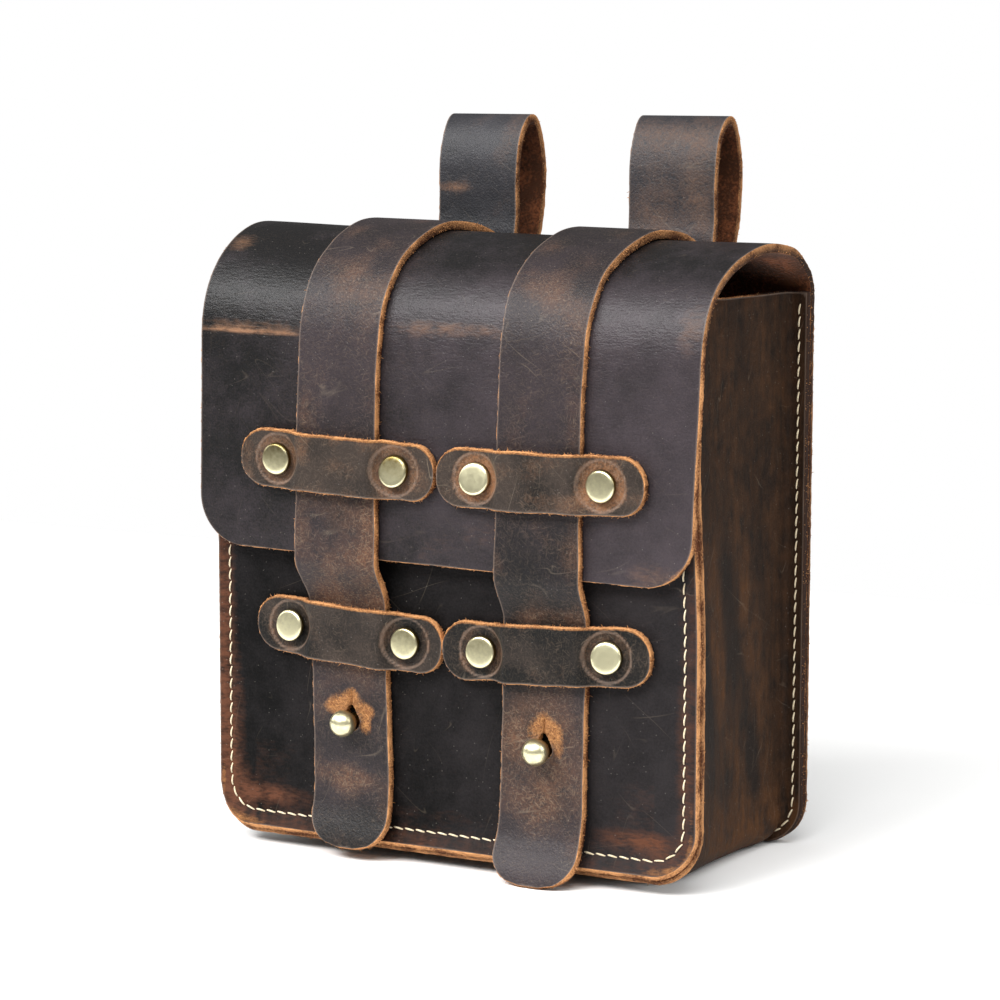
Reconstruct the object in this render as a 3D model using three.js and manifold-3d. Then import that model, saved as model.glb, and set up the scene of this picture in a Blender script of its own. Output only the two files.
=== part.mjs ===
// A leather belt bag that stands on its base: a front panel, a gusset with turned-out seam flanges,
// a back panel that runs on over the top as the flap, two closing straps under riveted keepers,
// two closing studs and two belt loops.
// Millimetres, +Z up. The front faces -Y and the origin is the middle of the base.
import * as THREE from "three";
import { mergeVertices } from "three/addons/utils/BufferGeometryUtils.js";
import Module from "manifold-3d";

// Driving dimensions
const LEATHER = 2.4; // thickness of every leather piece
const GAP = 0.3; // air between pieces that lie on each other
const LAYER = LEATHER + GAP; // one more layer of leather
const BODY_WIDTH = 150; // front and back panel, edge to edge
const BODY_DEPTH = 74.4; // front panel's face to back panel's face
const MOUTH_HEIGHT = 157.3; // top edge of the gusset
const FRONT_HEIGHT = 147.5; // top edge of the front panel, under the flap's bend
const MOUTH_SLOPE = { start: 5.1, end: 20 }; // depths between which the gusset's top edge climbs

// Front panel: flat, with a lip at the bottom seam that flares forward
const LIP_HEIGHT = 5.8; // lower edge of the panel's face
const PANEL_CORNER = 12; // radius of the bottom corners
const FLARE_ANGLE = THREE.MathUtils.degToRad(36);
const FLARE_RADIUS = 11;
const FLARE_LIP = 2; // straight end of the lip, along the leather
const PANEL_COLUMNS = [0, 0.2, 0.4, 0.6, 0.72, 0.8, 0.86, 0.9, 0.94, 0.97, 1]; // closer near the corners
// The body's right side is pressed in behind the flap: how far, and where that sets in and ends
const TUCK = { reach: 2, low: 65, high: 118, inner: 45, outer: 75, front: 20, back: 62 };

// Back panel and flap
const FOOT_HEIGHT = 0.3; // lower edge of the back panel
const BACK_HEIGHTS = [100, 60]; // rows that part the flat of the back below the straps' tails
const HEM_HEIGHT = 84.8; // lower edge of the flap
const HEM_CORNER = 14;
const FLAP_COLUMNS = [0, 0.29, 0.58, 0.79, 1]; // shares of its half-width, the straps' edges within the third
const FLAP_STAND_OFF = 4.8; // flap's face in front of the panel's face
const FLAP_SKEW = 1.0; // the flap's left side stands this much further out, the right side less
const FLAP_LEAN = 1.4; // and its left side sits this much higher
const TURN_HEIGHT = 120; // height about which it is turned to lean
const CREST_SKEW = 5; // the arch's crest lies this much further forward on the left, and back on the right
const SKEW_DEPTH = 34; // length from the back over which skew and lean set in
// Half-widths, and how much wider the right side gets between two heights
const FLAP_HALF = { left: 76.6, right: 75.4, spread: 1.2, low: 98, high: 150 };
// The flap's side edges curl away from the bag over its bend
const FLAP_CURL = { lift: 1.5, inner: 45, outer: 76, low: 125, high: 155, front: 10, back: 50 };

// Straps, keepers, rivets and studs
const STRAP_WIDTH = 25;
const STRAP_CORNER = 9.5; // radius of the free end's corners
const STRAP_TAIL_HEIGHT = 118; // lower end of the sewn tail on the back
const KEEPER_HEIGHT = 15.7;
const KEEPER_CORNER = 7.3;
// Where a keeper drops to the panel, counted from the strap's edge: its flesh side hugs the edge more closely
const GRAIN_DROP = { start: 1.0, end: 3.2 };
const FLESH_DROP = { start: 0.75, end: 1.9 };
const CAP_RADIUS = 4.6;
const CAP_HEIGHT = 1.9;
const CAP_RIM = 0.3; // straight rim below the cap's dome
const POST_RADIUS = 1.5;
const BACK_CAP_RADIUS = 3.6;
const BACK_CAP_HEIGHT = 0.8;
const HOLE_CLEARANCE = 0.4;
const DIMPLE_CUT = 10; // length of the cutter that clears a cap's pressed seat
const CUTTER_LENGTH = 30; // length of a cutter for a hole
const ROUND_SIDES = 12; // sides of a rivet, stud or hole
const DIMPLE_SIDES = 18;
const STUD_HEAD_RADIUS = 3.75;
const STUD_NECK_RADIUS = 1.9;
const STUD_CLEARANCE = 0.6; // from the strap to the ball of the stud
const KEYHOLE_RADIUS = 2.7;
const SLIT = { width: 1.0, length: 7 };

// Belt loops: strips whose two ends lie on each other and are sewn to the back over the strap's tail.
// The legs' grain side: how far out from the ends' seat, front leg upwards and back leg downwards
const LOOP_CREST = { start: 187, top: 205.5, depth: 19.4 };
const LOOP_FRONT_LEG = [
  { out: 0, height: STRAP_TAIL_HEIGHT },
  { out: 0, height: 157 },
  { out: -1.2, height: 163 },
  { out: -2.8, height: 170 },
  { out: -2.2, height: 176 },
  { out: -2.2, height: LOOP_CREST.start },
];
const LOOP_BACK_LEG = [
  { out: 9.4, height: 174 },
  { out: 5, height: 157 },
  { out: 1.2, height: 143 },
  { out: 0, height: 136 },
  { out: 0, height: STRAP_TAIL_HEIGHT },
];

// Each strap: its middle on the flap, how far its free end sways sideways and curls out, where it ends,
// the height of its stud, and the belt loop behind it
const SIDES = [
  { name: "left", x: -31.2, sway: 2.8, curl: 1, end: 3.8, stud: 38.7, loopX: -33, loopWidth: 25.7 },
  { name: "right", x: 31.2, sway: -0.8, curl: 1.45, end: 0.7, stud: 36.9, loopX: 30.2, loopWidth: 27 },
];

// Each keeper: its middle, its tilt in degrees, its length and the distance between its rivets
const KEEPERS = [
  { name: "upper_left", x: -31.1, height: 111, tilt: -2, length: 61, spacing: 37.2, onFlap: true },
  { name: "upper_right", x: 31.3, height: 110, tilt: 0.5, length: 62, spacing: 37.6, onFlap: true },
  { name: "lower_left", x: -30.5, height: 63.2, tilt: -3, length: 59.4, spacing: 37.2, onFlap: false },
  { name: "lower_right", x: 31, height: 62.9, tilt: 2.6, length: 63, spacing: 38.2, onFlap: false },
];

// The grain side of the arch, from the flat of the flap to the flat of the back:
// depth is counted from the front panel's face
const ARCH = [
  { depth: -4.8, height: 110 },
  { depth: -4.8, height: 125 },
  { depth: -4.3, height: 138 },
  { depth: -3.1, height: 149 },
  { depth: -0.2, height: 156.8 },
  { depth: 4.8, height: 163 },
  { depth: 12, height: 167.6 },
  { depth: 19.3, height: 170.5 },
  { depth: 27, height: 172.5 },
  { depth: 34, height: 173.2 },
  { depth: 42, height: 172.8 },
  { depth: 51, height: 171.5 },
  { depth: 60, height: 169 },
  { depth: 68, height: 165.4 },
  { depth: 72.6, height: 161.8 },
  { depth: 74.3, height: 157.5 },
  { depth: 74.4, height: 150 },
  { depth: 74.4, height: 140 },
];
const ARCH_STEPS = 26;

// The gusset's grain side behind the front flange, front to back: half-width between the sides, height
// of the bottom, corner radius, and depth at the sides and at the bottom
const GUSSET_RAILS = [
  { half: 69.1, low: 9.6, corner: 8, sideDepth: 5.9, lowDepth: 5.2 },
  { half: 68.5, low: 8.6, corner: 8, sideDepth: 7.6, lowDepth: 7.0 },
  { half: 68.3, low: 4.8, corner: 9, sideDepth: 11, lowDepth: 9.4 },
  { half: 68.1, low: 1.2, corner: 10, sideDepth: 15, lowDepth: 12 },
  { half: 67.9, low: 0, corner: 10, sideDepth: 20, lowDepth: 15.5 },
  { half: 67.4, low: 0, corner: 10, sideDepth: 37, lowDepth: 37 },
  { half: 67.9, low: 0, corner: 10, sideDepth: 54, lowDepth: 57 },
  { half: 68.2, low: 1.6, corner: 10, sideDepth: 61, lowDepth: 62 },
  { half: 68.5, low: 5.2, corner: 8, sideDepth: 66.6, lowDepth: 66 },
  { half: 69.1, low: 6.1, corner: 8, sideDepth: 68.5, lowDepth: 68.4 },
  { half: 70.5, low: 4.8, corner: 8, sideDepth: 69.2, lowDepth: 69.2 },
  { half: 75, low: 0.3, corner: 12, sideDepth: 69.2, lowDepth: 69.2 },
];
const FLANGE_INSETS = [0, 2.3, 4.5]; // rows across the front flange, from its edge
const CORNER_START = 0.4; // share of the U, from the middle of the bottom, where its corner starts
const CORNER_END = 0.75;

// The strap's free end over the flared lip: share of the way from its lower end up to the lower keeper,
// and how far it stands out past a strap that lies flat on the panel
const STRAP_FRONT = [
  { share: 0, out: 5.4 },
  { share: 0.033, out: 4.9 },
  { share: 0.075, out: 3.9 },
  { share: 0.13, out: 2.4 },
  { share: 0.2, out: 1.1 },
  { share: 0.3, out: 0.4 },
  { share: 0.53, out: 0.1 },
  { share: 0.77, out: 0 },
  { share: 1, out: 0 },
];
const STRAP_DROP = { from: 84.5, to: 71, steps: 6 }; // where it steps down from the flap to the panel

const wasm = await Module();
wasm.setup();

const { smoothstep, lerp, clamp } = THREE.MathUtils;
const quarterTurn = Math.PI / 2;

// A round corner's rows: distances from the edge, spaced evenly round the arc.
const cornerRows = (radius, steps) =>
  Array.from({ length: steps + 1 }, (_, i) => radius * (1 - Math.cos((quarterTurn * i) / steps)));

// How far a round corner of this radius pulls the side in, at a distance from the edge.
const cornerInset = (radius, distance) =>
  distance >= radius ? 0 : radius - Math.sqrt(radius ** 2 - (radius - distance) ** 2);

// Evenly spaced values from first to last.
const spaced = (first, last, steps) =>
  Array.from({ length: steps + 1 }, (_, i) => lerp(first, last, i / steps));

// The right half's values with the left half's in front of them.
const mirrored = (half) => [...half.slice(1).reverse().map((value) => -value), ...half];

// The flesh side of a grid of points on the grain side, one thickness below it. The step along a row
// crossed with the step to the next row points out of the grain side.
function fleshSide(grid) {
  const near = (list, i) => list[clamp(i, 0, list.length - 1)];
  return grid.map((row, r) =>
    row.map((point, c) => {
      const along = near(row, c + 1).clone().sub(near(row, c - 1));
      const across = near(grid, r + 1)[c].clone().sub(near(grid, r - 1)[c]);
      return point.clone().addScaledVector(along.cross(across).normalize(), -LEATHER);
    }),
  );
}

// A closed wall of leather between the grids of its grain side and its flesh side.
function leatherWall(grid, fleshGrid = fleshSide(grid)) {
  const rows = grid.length;
  const columns = grid[0].length;
  const points = [...grid.flat(), ...fleshGrid.flat()];
  const grain = (r, c) => r * columns + c;
  const flesh = (r, c) => rows * columns + grain(r, c);
  const index = [];
  for (let r = 0; r + 1 < rows; r++) {
    for (let c = 0; c + 1 < columns; c++) {
      index.push(grain(r, c), grain(r, c + 1), grain(r + 1, c + 1));
      index.push(grain(r, c), grain(r + 1, c + 1), grain(r + 1, c));
      index.push(flesh(r, c), flesh(r + 1, c + 1), flesh(r, c + 1));
      index.push(flesh(r, c), flesh(r + 1, c), flesh(r + 1, c + 1));
    }
  }
  const rim = [];
  for (let c = 0; c + 1 < columns; c++) rim.push([0, c]);
  for (let r = 0; r + 1 < rows; r++) rim.push([r, columns - 1]);
  for (let c = columns - 1; c > 0; c--) rim.push([rows - 1, c]);
  for (let r = rows - 1; r > 0; r--) rim.push([r, 0]);
  rim.forEach((a, i) => {
    const b = rim[(i + 1) % rim.length];
    index.push(grain(...b), grain(...a), flesh(...a));
    index.push(grain(...b), flesh(...a), flesh(...b));
  });
  return new THREE.BufferGeometry().setFromPoints(points).setIndex(index);
}

// A geometry as a solid for cutting.
function solidOf(geometry) {
  const bare = geometry.clone();
  bare.deleteAttribute("normal");
  bare.deleteAttribute("uv");
  const merged = mergeVertices(bare, 1e-4);
  return new wasm.Manifold(
    new wasm.Mesh({
      numProp: 3,
      vertProperties: new Float32Array(merged.attributes.position.array),
      triVerts: new Uint32Array(merged.index.array),
    }),
  );
}

// The geometry with the cutters taken out of it.
function cut(geometry, cutters) {
  const left = cutters.reduce((solid, cutter) => solid.subtract(solidOf(cutter)), solidOf(geometry));
  const { vertProperties, triVerts } = left.getMesh();
  return new THREE.BufferGeometry()
    .setAttribute("position", new THREE.BufferAttribute(new Float32Array(vertProperties), 3))
    .setIndex(Array.from(triVerts));
}

// A round cutter through the leather, along the depth.
const hole = (x, height, radius, depth = 0) =>
  new THREE.CylinderGeometry(radius, radius, CUTTER_LENGTH, ROUND_SIDES).translate(x, depth, height);

// Forward reach of the flared lip, and its slope, at a distance from the panel's edge.
function flare(distance) {
  const lip = FLARE_LIP * Math.cos(FLARE_ANGLE);
  const bend = FLARE_RADIUS * Math.sin(FLARE_ANGLE);
  const rise = clamp(lip + bend - distance, 0, bend);
  const angle = Math.asin(rise / FLARE_RADIUS);
  const straight = Math.max(lip - distance, 0) * Math.tan(FLARE_ANGLE);
  return { reach: FLARE_RADIUS * (1 - Math.cos(angle)) + straight, slope: Math.tan(angle) };
}

// Share of the flare round a bottom corner, 1 along the bottom and 0 up the sides.
const flareShare = (turn) => Math.cos(turn) ** 2;

// A point of the body with the right side's tuck.
function tucked(point) {
  const inwards = smoothstep(point.z, TUCK.low, TUCK.high) * smoothstep(point.x, TUCK.inner, TUCK.outer);
  point.x -= TUCK.reach * inwards * (1 - smoothstep(point.y, TUCK.front, TUCK.back));
  return point;
}

// Front panel's face: the depth at a point of its outline plane.
function panelDepth(x, height) {
  const cornerX = BODY_WIDTH / 2 - PANEL_CORNER;
  const past = Math.max(Math.abs(x) - cornerX, 0);
  const below = LIP_HEIGHT + PANEL_CORNER - height;
  if (below <= 0) return 0;
  const distance = PANEL_CORNER - Math.hypot(past, below);
  return -flareShare(Math.atan2(past, below)) * flare(Math.max(distance, 0)).reach;
}

function frontPanel(postHoles) {
  const rows = [
    ...cornerRows(PANEL_CORNER, 7).map((d) => LIP_HEIGHT + d),
    ...spaced(LIP_HEIGHT + PANEL_CORNER, FRONT_HEIGHT, 5).slice(1),
  ];
  const shares = mirrored(PANEL_COLUMNS);
  const grid = rows.map((height) => {
    const reach = BODY_WIDTH / 2 - cornerInset(PANEL_CORNER, height - LIP_HEIGHT);
    return shares.map((s) =>
      tucked(new THREE.Vector3(s * reach, panelDepth(s * reach, height), height)),
    );
  });
  return cut(leatherWall(grid), postHoles);
}

// Height of the gusset's top edge at a depth.
const mouthHeight = (depth) =>
  lerp(FRONT_HEIGHT, MOUTH_HEIGHT, smoothstep(depth, MOUTH_SLOPE.start, MOUTH_SLOPE.end));

// The angle round the corner at a share of the U below.
function cornerTurn(share) {
  const past = (Math.abs(share) - CORNER_START) / (CORNER_END - CORNER_START);
  return quarterTurn * clamp(past, 0, 1);
}

// A point of a U-shaped line that hangs from the mouth: share runs from -1 at the left top, over 0 at the
// middle of the bottom, to 1 at the right top.
function uPoint(half, low, corner, share, depth) {
  const size = Math.abs(share);
  const turn = cornerTurn(share);
  const along = Math.min(size / CORNER_START, 1) * (half - corner);
  const rise = mouthHeight(depth) - low - corner;
  const climb = Math.max((size - CORNER_END) / (1 - CORNER_END), 0) * rise;
  const x = along + corner * Math.sin(turn);
  const height = low + corner * (1 - Math.cos(turn)) + climb;
  return tucked(new THREE.Vector3(Math.sign(share) * x, depth, height));
}

function gusset() {
  const half = [
    ...spaced(0, CORNER_START, 3),
    ...spaced(CORNER_START, CORNER_END, 6).slice(1),
    ...spaced(CORNER_END, 1, 3).slice(1),
  ];
  const shares = mirrored(half);
  const layers = LEATHER + LAYER; // from the panel's face to the grain side of the flange
  const grid = shares.map((share) => {
    const amount = flareShare(cornerTurn(share));
    const flange = FLANGE_INSETS.map((inset) => {
      const { reach, slope } = flare(inset);
      const tilt = Math.atan(amount * slope);
      const inward = inset - layers * Math.sin(tilt);
      const depth = layers * Math.cos(tilt) - amount * reach;
      const corner = PANEL_CORNER - inward;
      return uPoint(BODY_WIDTH / 2 - inward, LIP_HEIGHT + inward, corner, share, depth);
    });
    const wall = GUSSET_RAILS.map((rail) =>
      uPoint(rail.half, rail.low, rail.corner, share, lerp(rail.sideDepth, rail.lowDepth, amount)),
    );
    return [...flange, ...wall];
  });
  return leatherWall(grid);
}

// Points down the middle of the arch with their outward direction, front to back.
const archCurve = new THREE.CatmullRomCurve3(
  ARCH.map((row) => new THREE.Vector3(0, row.depth, row.height)),
  false,
  "centripetal",
);
const archRows = archCurve.getSpacedPoints(ARCH_STEPS).map((point, i) => {
  const along = archCurve.getTangentAt(i / ARCH_STEPS);
  return { depth: point.y, height: point.z, out: { depth: -along.z, height: along.y } };
});

// How much of the flap's skew, lean and spread there is at a depth.
const flapShare = (depth) => smoothstep(BODY_DEPTH - depth, 0, SKEW_DEPTH);

// Sideways shift at a height, from the flap's turn in its own plane.
const turnShift = (height) => (FLAP_LEAN / (BODY_WIDTH / 2)) * (height - TURN_HEIGHT);

// How far the flap's side edges curl out.
function flapCurl(row, x) {
  const sideways = smoothstep(Math.abs(x), FLAP_CURL.inner, FLAP_CURL.outer);
  const bend = smoothstep(row.height, FLAP_CURL.low, FLAP_CURL.high);
  return FLAP_CURL.lift * sideways * bend * (1 - smoothstep(row.depth, FLAP_CURL.front, FLAP_CURL.back));
}

// A point over the flap, lifted off its grain side, with the flap's skew, lean and curl.
function flapPoint(row, x, lift = 0) {
  const share = flapShare(row.depth);
  const side = x / (BODY_WIDTH / 2);
  const crest = Math.sin(Math.PI * clamp(row.depth / BODY_DEPTH, 0, 1)) ** 2;
  const out = lift + flapCurl(row, x);
  return new THREE.Vector3(
    x + share * turnShift(row.height),
    row.depth + out * row.out.depth + (FLAP_SKEW * share + CREST_SKEW * crest) * side,
    row.height + out * row.out.height - FLAP_LEAN * share * side,
  );
}
const frontRow = (height) => ({ depth: -FLAP_STAND_OFF, height, out: { depth: -1, height: 0 } });
const backRow = (height) => ({ depth: BODY_DEPTH, height, out: { depth: 1, height: 0 } });

function backAndFlap(postHoles) {
  const hem = cornerRows(HEM_CORNER, 6);
  const foot = cornerRows(PANEL_CORNER, 5).reverse();
  const rows = [
    ...hem.map((d) => ({ ...frontRow(HEM_HEIGHT + d), inset: cornerInset(HEM_CORNER, d) })),
    ...archRows.map((row) => ({ ...row, inset: 0 })),
    ...BACK_HEIGHTS.map((height) => ({ ...backRow(height), inset: 0 })),
    ...foot.map((d) => ({ ...backRow(FOOT_HEIGHT + d), inset: cornerInset(PANEL_CORNER, d) })),
  ];
  const grid = rows.map((row) => {
    const share = flapShare(row.depth);
    const spread = FLAP_HALF.spread * smoothstep(row.height, FLAP_HALF.low, FLAP_HALF.high);
    const left = lerp(BODY_WIDTH / 2, FLAP_HALF.left, share) - row.inset;
    const right = lerp(BODY_WIDTH / 2, FLAP_HALF.right + spread, share) - row.inset;
    return mirrored(FLAP_COLUMNS).map((s) => flapPoint(row, s * (s < 0 ? left : right)));
  });
  return cut(leatherWall(grid), postHoles);
}

// Middle of a strap across the bag: straight on the flap, swaying to the side below the hem.
const strapX = (side, height) => side.x + side.sway * Math.max(1 - height / HEM_HEIGHT, 0);

function strap(side) {
  const flapLift = FLAP_STAND_OFF + LAYER;
  const grid = [];
  const addRow = (middle, point, inset = 0) => {
    const reach = STRAP_WIDTH / 2 - inset;
    grid.push(spaced(-reach, reach, 4).map((across) => point(middle + across)));
  };
  STRAP_FRONT.forEach(({ share, out }) => {
    const height = lerp(side.end, STRAP_DROP.to, share);
    const depth = -LAYER - side.curl * out;
    const inset = cornerInset(STRAP_CORNER, height - side.end);
    addRow(strapX(side, height), (x) => new THREE.Vector3(x, depth, height), inset);
  });
  spaced(STRAP_DROP.to, STRAP_DROP.from, STRAP_DROP.steps).slice(1).forEach((height) => {
    const share = smoothstep(height, STRAP_DROP.to, STRAP_DROP.from);
    addRow(strapX(side, height), (x) => {
      const skew = (FLAP_SKEW * x) / (BODY_WIDTH / 2);
      const depth = -lerp(LAYER, flapLift - skew, share);
      return new THREE.Vector3(x + share * turnShift(height), depth, height);
    });
  });
  archRows.forEach((row) => addRow(side.x, (x) => flapPoint(row, x, LAYER)));
  addRow(side.x, (x) => flapPoint(backRow(STRAP_TAIL_HEIGHT), x, LAYER));

  const studX = strapX(side, side.stud);
  const keyhole = hole(studX, side.stud, KEYHOLE_RADIUS);
  const slit = new THREE.BoxGeometry(SLIT.width, CUTTER_LENGTH, SLIT.length);
  slit.translate(studX, 0, side.stud + SLIT.length / 2);
  return cut(leatherWall(grid), [keyhole, slit]);
}

// A keeper about its own middle, its flesh side GAP in front of depth 0 at the rivets and humped over the
// strap between them. Each rivet's cap is pressed into the foot of the hump.
function keeper(row) {
  const halfLength = row.length / 2;
  const strapEdge = STRAP_WIDTH / 2;
  const hump = (x, drop) =>
    LAYER * (1 - smoothstep(Math.abs(x) - strapEdge, drop.start, drop.end));
  const half = [
    ...spaced(0, strapEdge + FLESH_DROP.start, 2),
    ...spaced(strapEdge + FLESH_DROP.start, strapEdge + GRAIN_DROP.end, 6).slice(1),
    row.spacing / 2 + POST_RADIUS,
    ...cornerRows(KEEPER_CORNER, 5).reverse().map((d) => halfLength - d),
  ];
  const along = mirrored(half);
  const side = (depth) =>
    spaced(-1, 1, 3).map((share) =>
      along.map((x) => {
        const reach = KEEPER_HEIGHT / 2 - cornerInset(KEEPER_CORNER, halfLength - Math.abs(x));
        return new THREE.Vector3(x, depth(x), share * reach);
      }),
    );
  const grain = side((x) => -LAYER - hump(x, GRAIN_DROP));
  const flesh = side((x) => -GAP - hump(x, FLESH_DROP));
  const cutters = [-1, 1].flatMap((end) => {
    const x = (end * row.spacing) / 2;
    const dimple = new THREE.CylinderGeometry(CAP_RADIUS + GAP, CAP_RADIUS + GAP, DIMPLE_CUT, DIMPLE_SIDES);
    return [
      hole(x, 0, POST_RADIUS + HOLE_CLEARANCE),
      dimple.translate(x, -LAYER - GAP / 3 - DIMPLE_CUT / 2, 0),
    ];
  });
  return cut(leatherWall(grain, flesh), cutters);
}

// A double-cap rivet through a keeper and the leather behind it, its axis along the depth.
function rivet() {
  const seat = -LAYER - GAP;
  const back = LEATHER + GAP;
  const dome = spaced(0, quarterTurn, 4).map(
    (a) => new THREE.Vector2(CAP_RADIUS * Math.sin(a), seat - CAP_RIM - (CAP_HEIGHT - CAP_RIM) * Math.cos(a)),
  );
  const profile = [
    ...dome,
    new THREE.Vector2(CAP_RADIUS, seat),
    new THREE.Vector2(POST_RADIUS, seat),
    new THREE.Vector2(POST_RADIUS, back),
    new THREE.Vector2(BACK_CAP_RADIUS, back),
    new THREE.Vector2(BACK_CAP_RADIUS, back + BACK_CAP_HEIGHT),
    new THREE.Vector2(0, back + BACK_CAP_HEIGHT),
  ];
  return new THREE.LatheGeometry(profile, ROUND_SIDES);
}

// A closing stud: ball head in front of the strap, neck through the keyhole, plate behind the panel.
function stud() {
  const headDepth = -LAYER - STUD_HEAD_RADIUS - STUD_CLEARANCE;
  const back = LEATHER + GAP;
  const neckAngle = Math.asin(STUD_NECK_RADIUS / STUD_HEAD_RADIUS);
  const head = spaced(0, Math.PI - neckAngle, 7).map(
    (a) => new THREE.Vector2(STUD_HEAD_RADIUS * Math.sin(a), headDepth - STUD_HEAD_RADIUS * Math.cos(a)),
  );
  const profile = [
    ...head,
    new THREE.Vector2(STUD_NECK_RADIUS, back),
    new THREE.Vector2(BACK_CAP_RADIUS, back),
    new THREE.Vector2(BACK_CAP_RADIUS, back + BACK_CAP_HEIGHT),
    new THREE.Vector2(0, back + BACK_CAP_HEIGHT),
  ];
  return new THREE.LatheGeometry(profile, ROUND_SIDES);
}

// A belt loop: up the front leg, over a half-ellipse crest and down the back leg.
function beltLoop(side) {
  const frontSeat = BODY_DEPTH + LAYER + GAP;
  const backSeat = frontSeat + LEATHER + LAYER;
  const frontLeg = LOOP_FRONT_LEG.map(({ out, height }) => ({ depth: frontSeat + out, height }));
  const backLeg = LOOP_BACK_LEG.map(({ out, height }) => ({ depth: backSeat + out, height }));
  const halfDepth = LOOP_CREST.depth / 2;
  const crest = spaced(0, Math.PI, 12).map((a) => ({
    depth: frontLeg.at(-1).depth + halfDepth * (1 - Math.cos(a)),
    height: LOOP_CREST.start + (LOOP_CREST.top - LOOP_CREST.start) * Math.sin(a),
  }));
  const reach = side.loopWidth / 2;
  const grid = [...frontLeg, ...crest.slice(1), ...backLeg].map(({ depth, height }) =>
    spaced(-reach, reach, 2).map((x) => new THREE.Vector3(side.loopX + x, depth, height)),
  );
  return leatherWall(grid);
}

const leather = (color) => new THREE.MeshStandardMaterial({ color, roughness: 0.55, metalness: 0 });
const darkLeather = leather(0x2e2624);
const strapLeather = leather(0x45332b);
const brass = new THREE.MeshStandardMaterial({ color: 0xb59a58, roughness: 0.3, metalness: 1 });

function piece(name, geometry, material) {
  const mesh = new THREE.Mesh(geometry, material);
  mesh.name = name;
  return mesh;
}

// Where a keeper sits: its middle on the flap or the panel, turned to lie along it.
function keeperGroup(row) {
  const group = new THREE.Group();
  const skewShare = row.x / (BODY_WIDTH / 2);
  const depth = row.onFlap ? -FLAP_STAND_OFF + FLAP_SKEW * skewShare : 0;
  group.position.set(row.x, depth, row.height);
  group.rotation.y = -THREE.MathUtils.degToRad(row.tilt);
  if (row.onFlap) group.rotation.z = Math.atan(FLAP_SKEW / (BODY_WIDTH / 2));
  group.add(piece(`keeper_${row.name}`, keeper(row), strapLeather));
  ["outer", "inner"].forEach((end, i) => {
    const mesh = piece(`rivet_${row.name}_${end}`, rivet(), brass);
    const outward = Math.sign(row.x) * (i === 0 ? 1 : -1);
    mesh.position.x = (outward * row.spacing) / 2;
    group.add(mesh);
  });
  group.updateMatrixWorld(true);
  return group;
}

const bag = new THREE.Group();
const keepers = KEEPERS.map(keeperGroup);
bag.add(...keepers);

// Cutters for the rivets' posts, short enough to leave the back panel behind the flap whole.
const postHolesFor = (onFlap) =>
  keepers
    .filter((_, i) => KEEPERS[i].onFlap === onFlap)
    .flatMap((group) => group.children.slice(1))
    .map((mesh) => mesh.getWorldPosition(new THREE.Vector3()))
    .map((at) => hole(at.x, at.z, POST_RADIUS + HOLE_CLEARANCE, at.y));

const studHoles = SIDES.map((side) =>
  hole(strapX(side, side.stud), side.stud, STUD_NECK_RADIUS + HOLE_CLEARANCE),
);
bag.add(piece("front_panel", frontPanel([...postHolesFor(false), ...studHoles]), darkLeather));
bag.add(piece("gusset", gusset(), darkLeather));
bag.add(piece("back_and_flap", backAndFlap(postHolesFor(true)), darkLeather));
SIDES.forEach((side) => {
  bag.add(piece(`strap_${side.name}`, strap(side), strapLeather));
  bag.add(piece(`belt_loop_${side.name}`, beltLoop(side), strapLeather));
  const closingStud = piece(`stud_${side.name}`, stud(), brass);
  closingStud.position.set(strapX(side, side.stud), 0, side.stud);
  bag.add(closingStud);
});

// The depth is counted from the front panel's face, and the origin is the middle of the base.
bag.position.y = -BODY_DEPTH / 2;
const part = new THREE.Group();
part.add(bag);

export default part;
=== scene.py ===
# %% [markdown]
# A leather belt bag, dressed around its solid model.
#
# The solid model gives every piece its size and place. This script gives each piece the surface that the
# eye expects: leather walls with a grain side, a suede flesh side and raw cut edges, thread, and brass.
# Lengths are written in millimetres, as a leather worker would, and become metres when a mesh is made.

import bpy
import numpy as np
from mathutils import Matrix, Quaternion, Vector


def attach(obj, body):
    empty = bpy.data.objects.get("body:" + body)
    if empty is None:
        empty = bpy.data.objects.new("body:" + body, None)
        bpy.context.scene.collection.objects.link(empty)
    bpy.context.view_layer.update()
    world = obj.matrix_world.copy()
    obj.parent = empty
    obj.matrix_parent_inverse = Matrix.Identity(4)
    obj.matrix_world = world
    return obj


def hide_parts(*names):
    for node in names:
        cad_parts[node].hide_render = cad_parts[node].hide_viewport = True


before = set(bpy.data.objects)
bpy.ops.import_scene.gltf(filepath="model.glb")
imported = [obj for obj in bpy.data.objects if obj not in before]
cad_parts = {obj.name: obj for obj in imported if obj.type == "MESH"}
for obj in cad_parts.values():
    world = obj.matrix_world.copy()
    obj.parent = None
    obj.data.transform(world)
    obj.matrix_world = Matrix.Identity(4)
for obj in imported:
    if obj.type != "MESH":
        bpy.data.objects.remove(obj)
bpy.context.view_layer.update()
MM = 0.001

# %% [markdown]
# The camera stands where the photographer stood: nearly nine tenths of a metre away, a little above the
# bag and to its right, with a long lens that keeps the upright edges almost parallel. A constraint could
# aim it, but its turn is worked out once here, so that the picture's small roll can be added to it.

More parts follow.
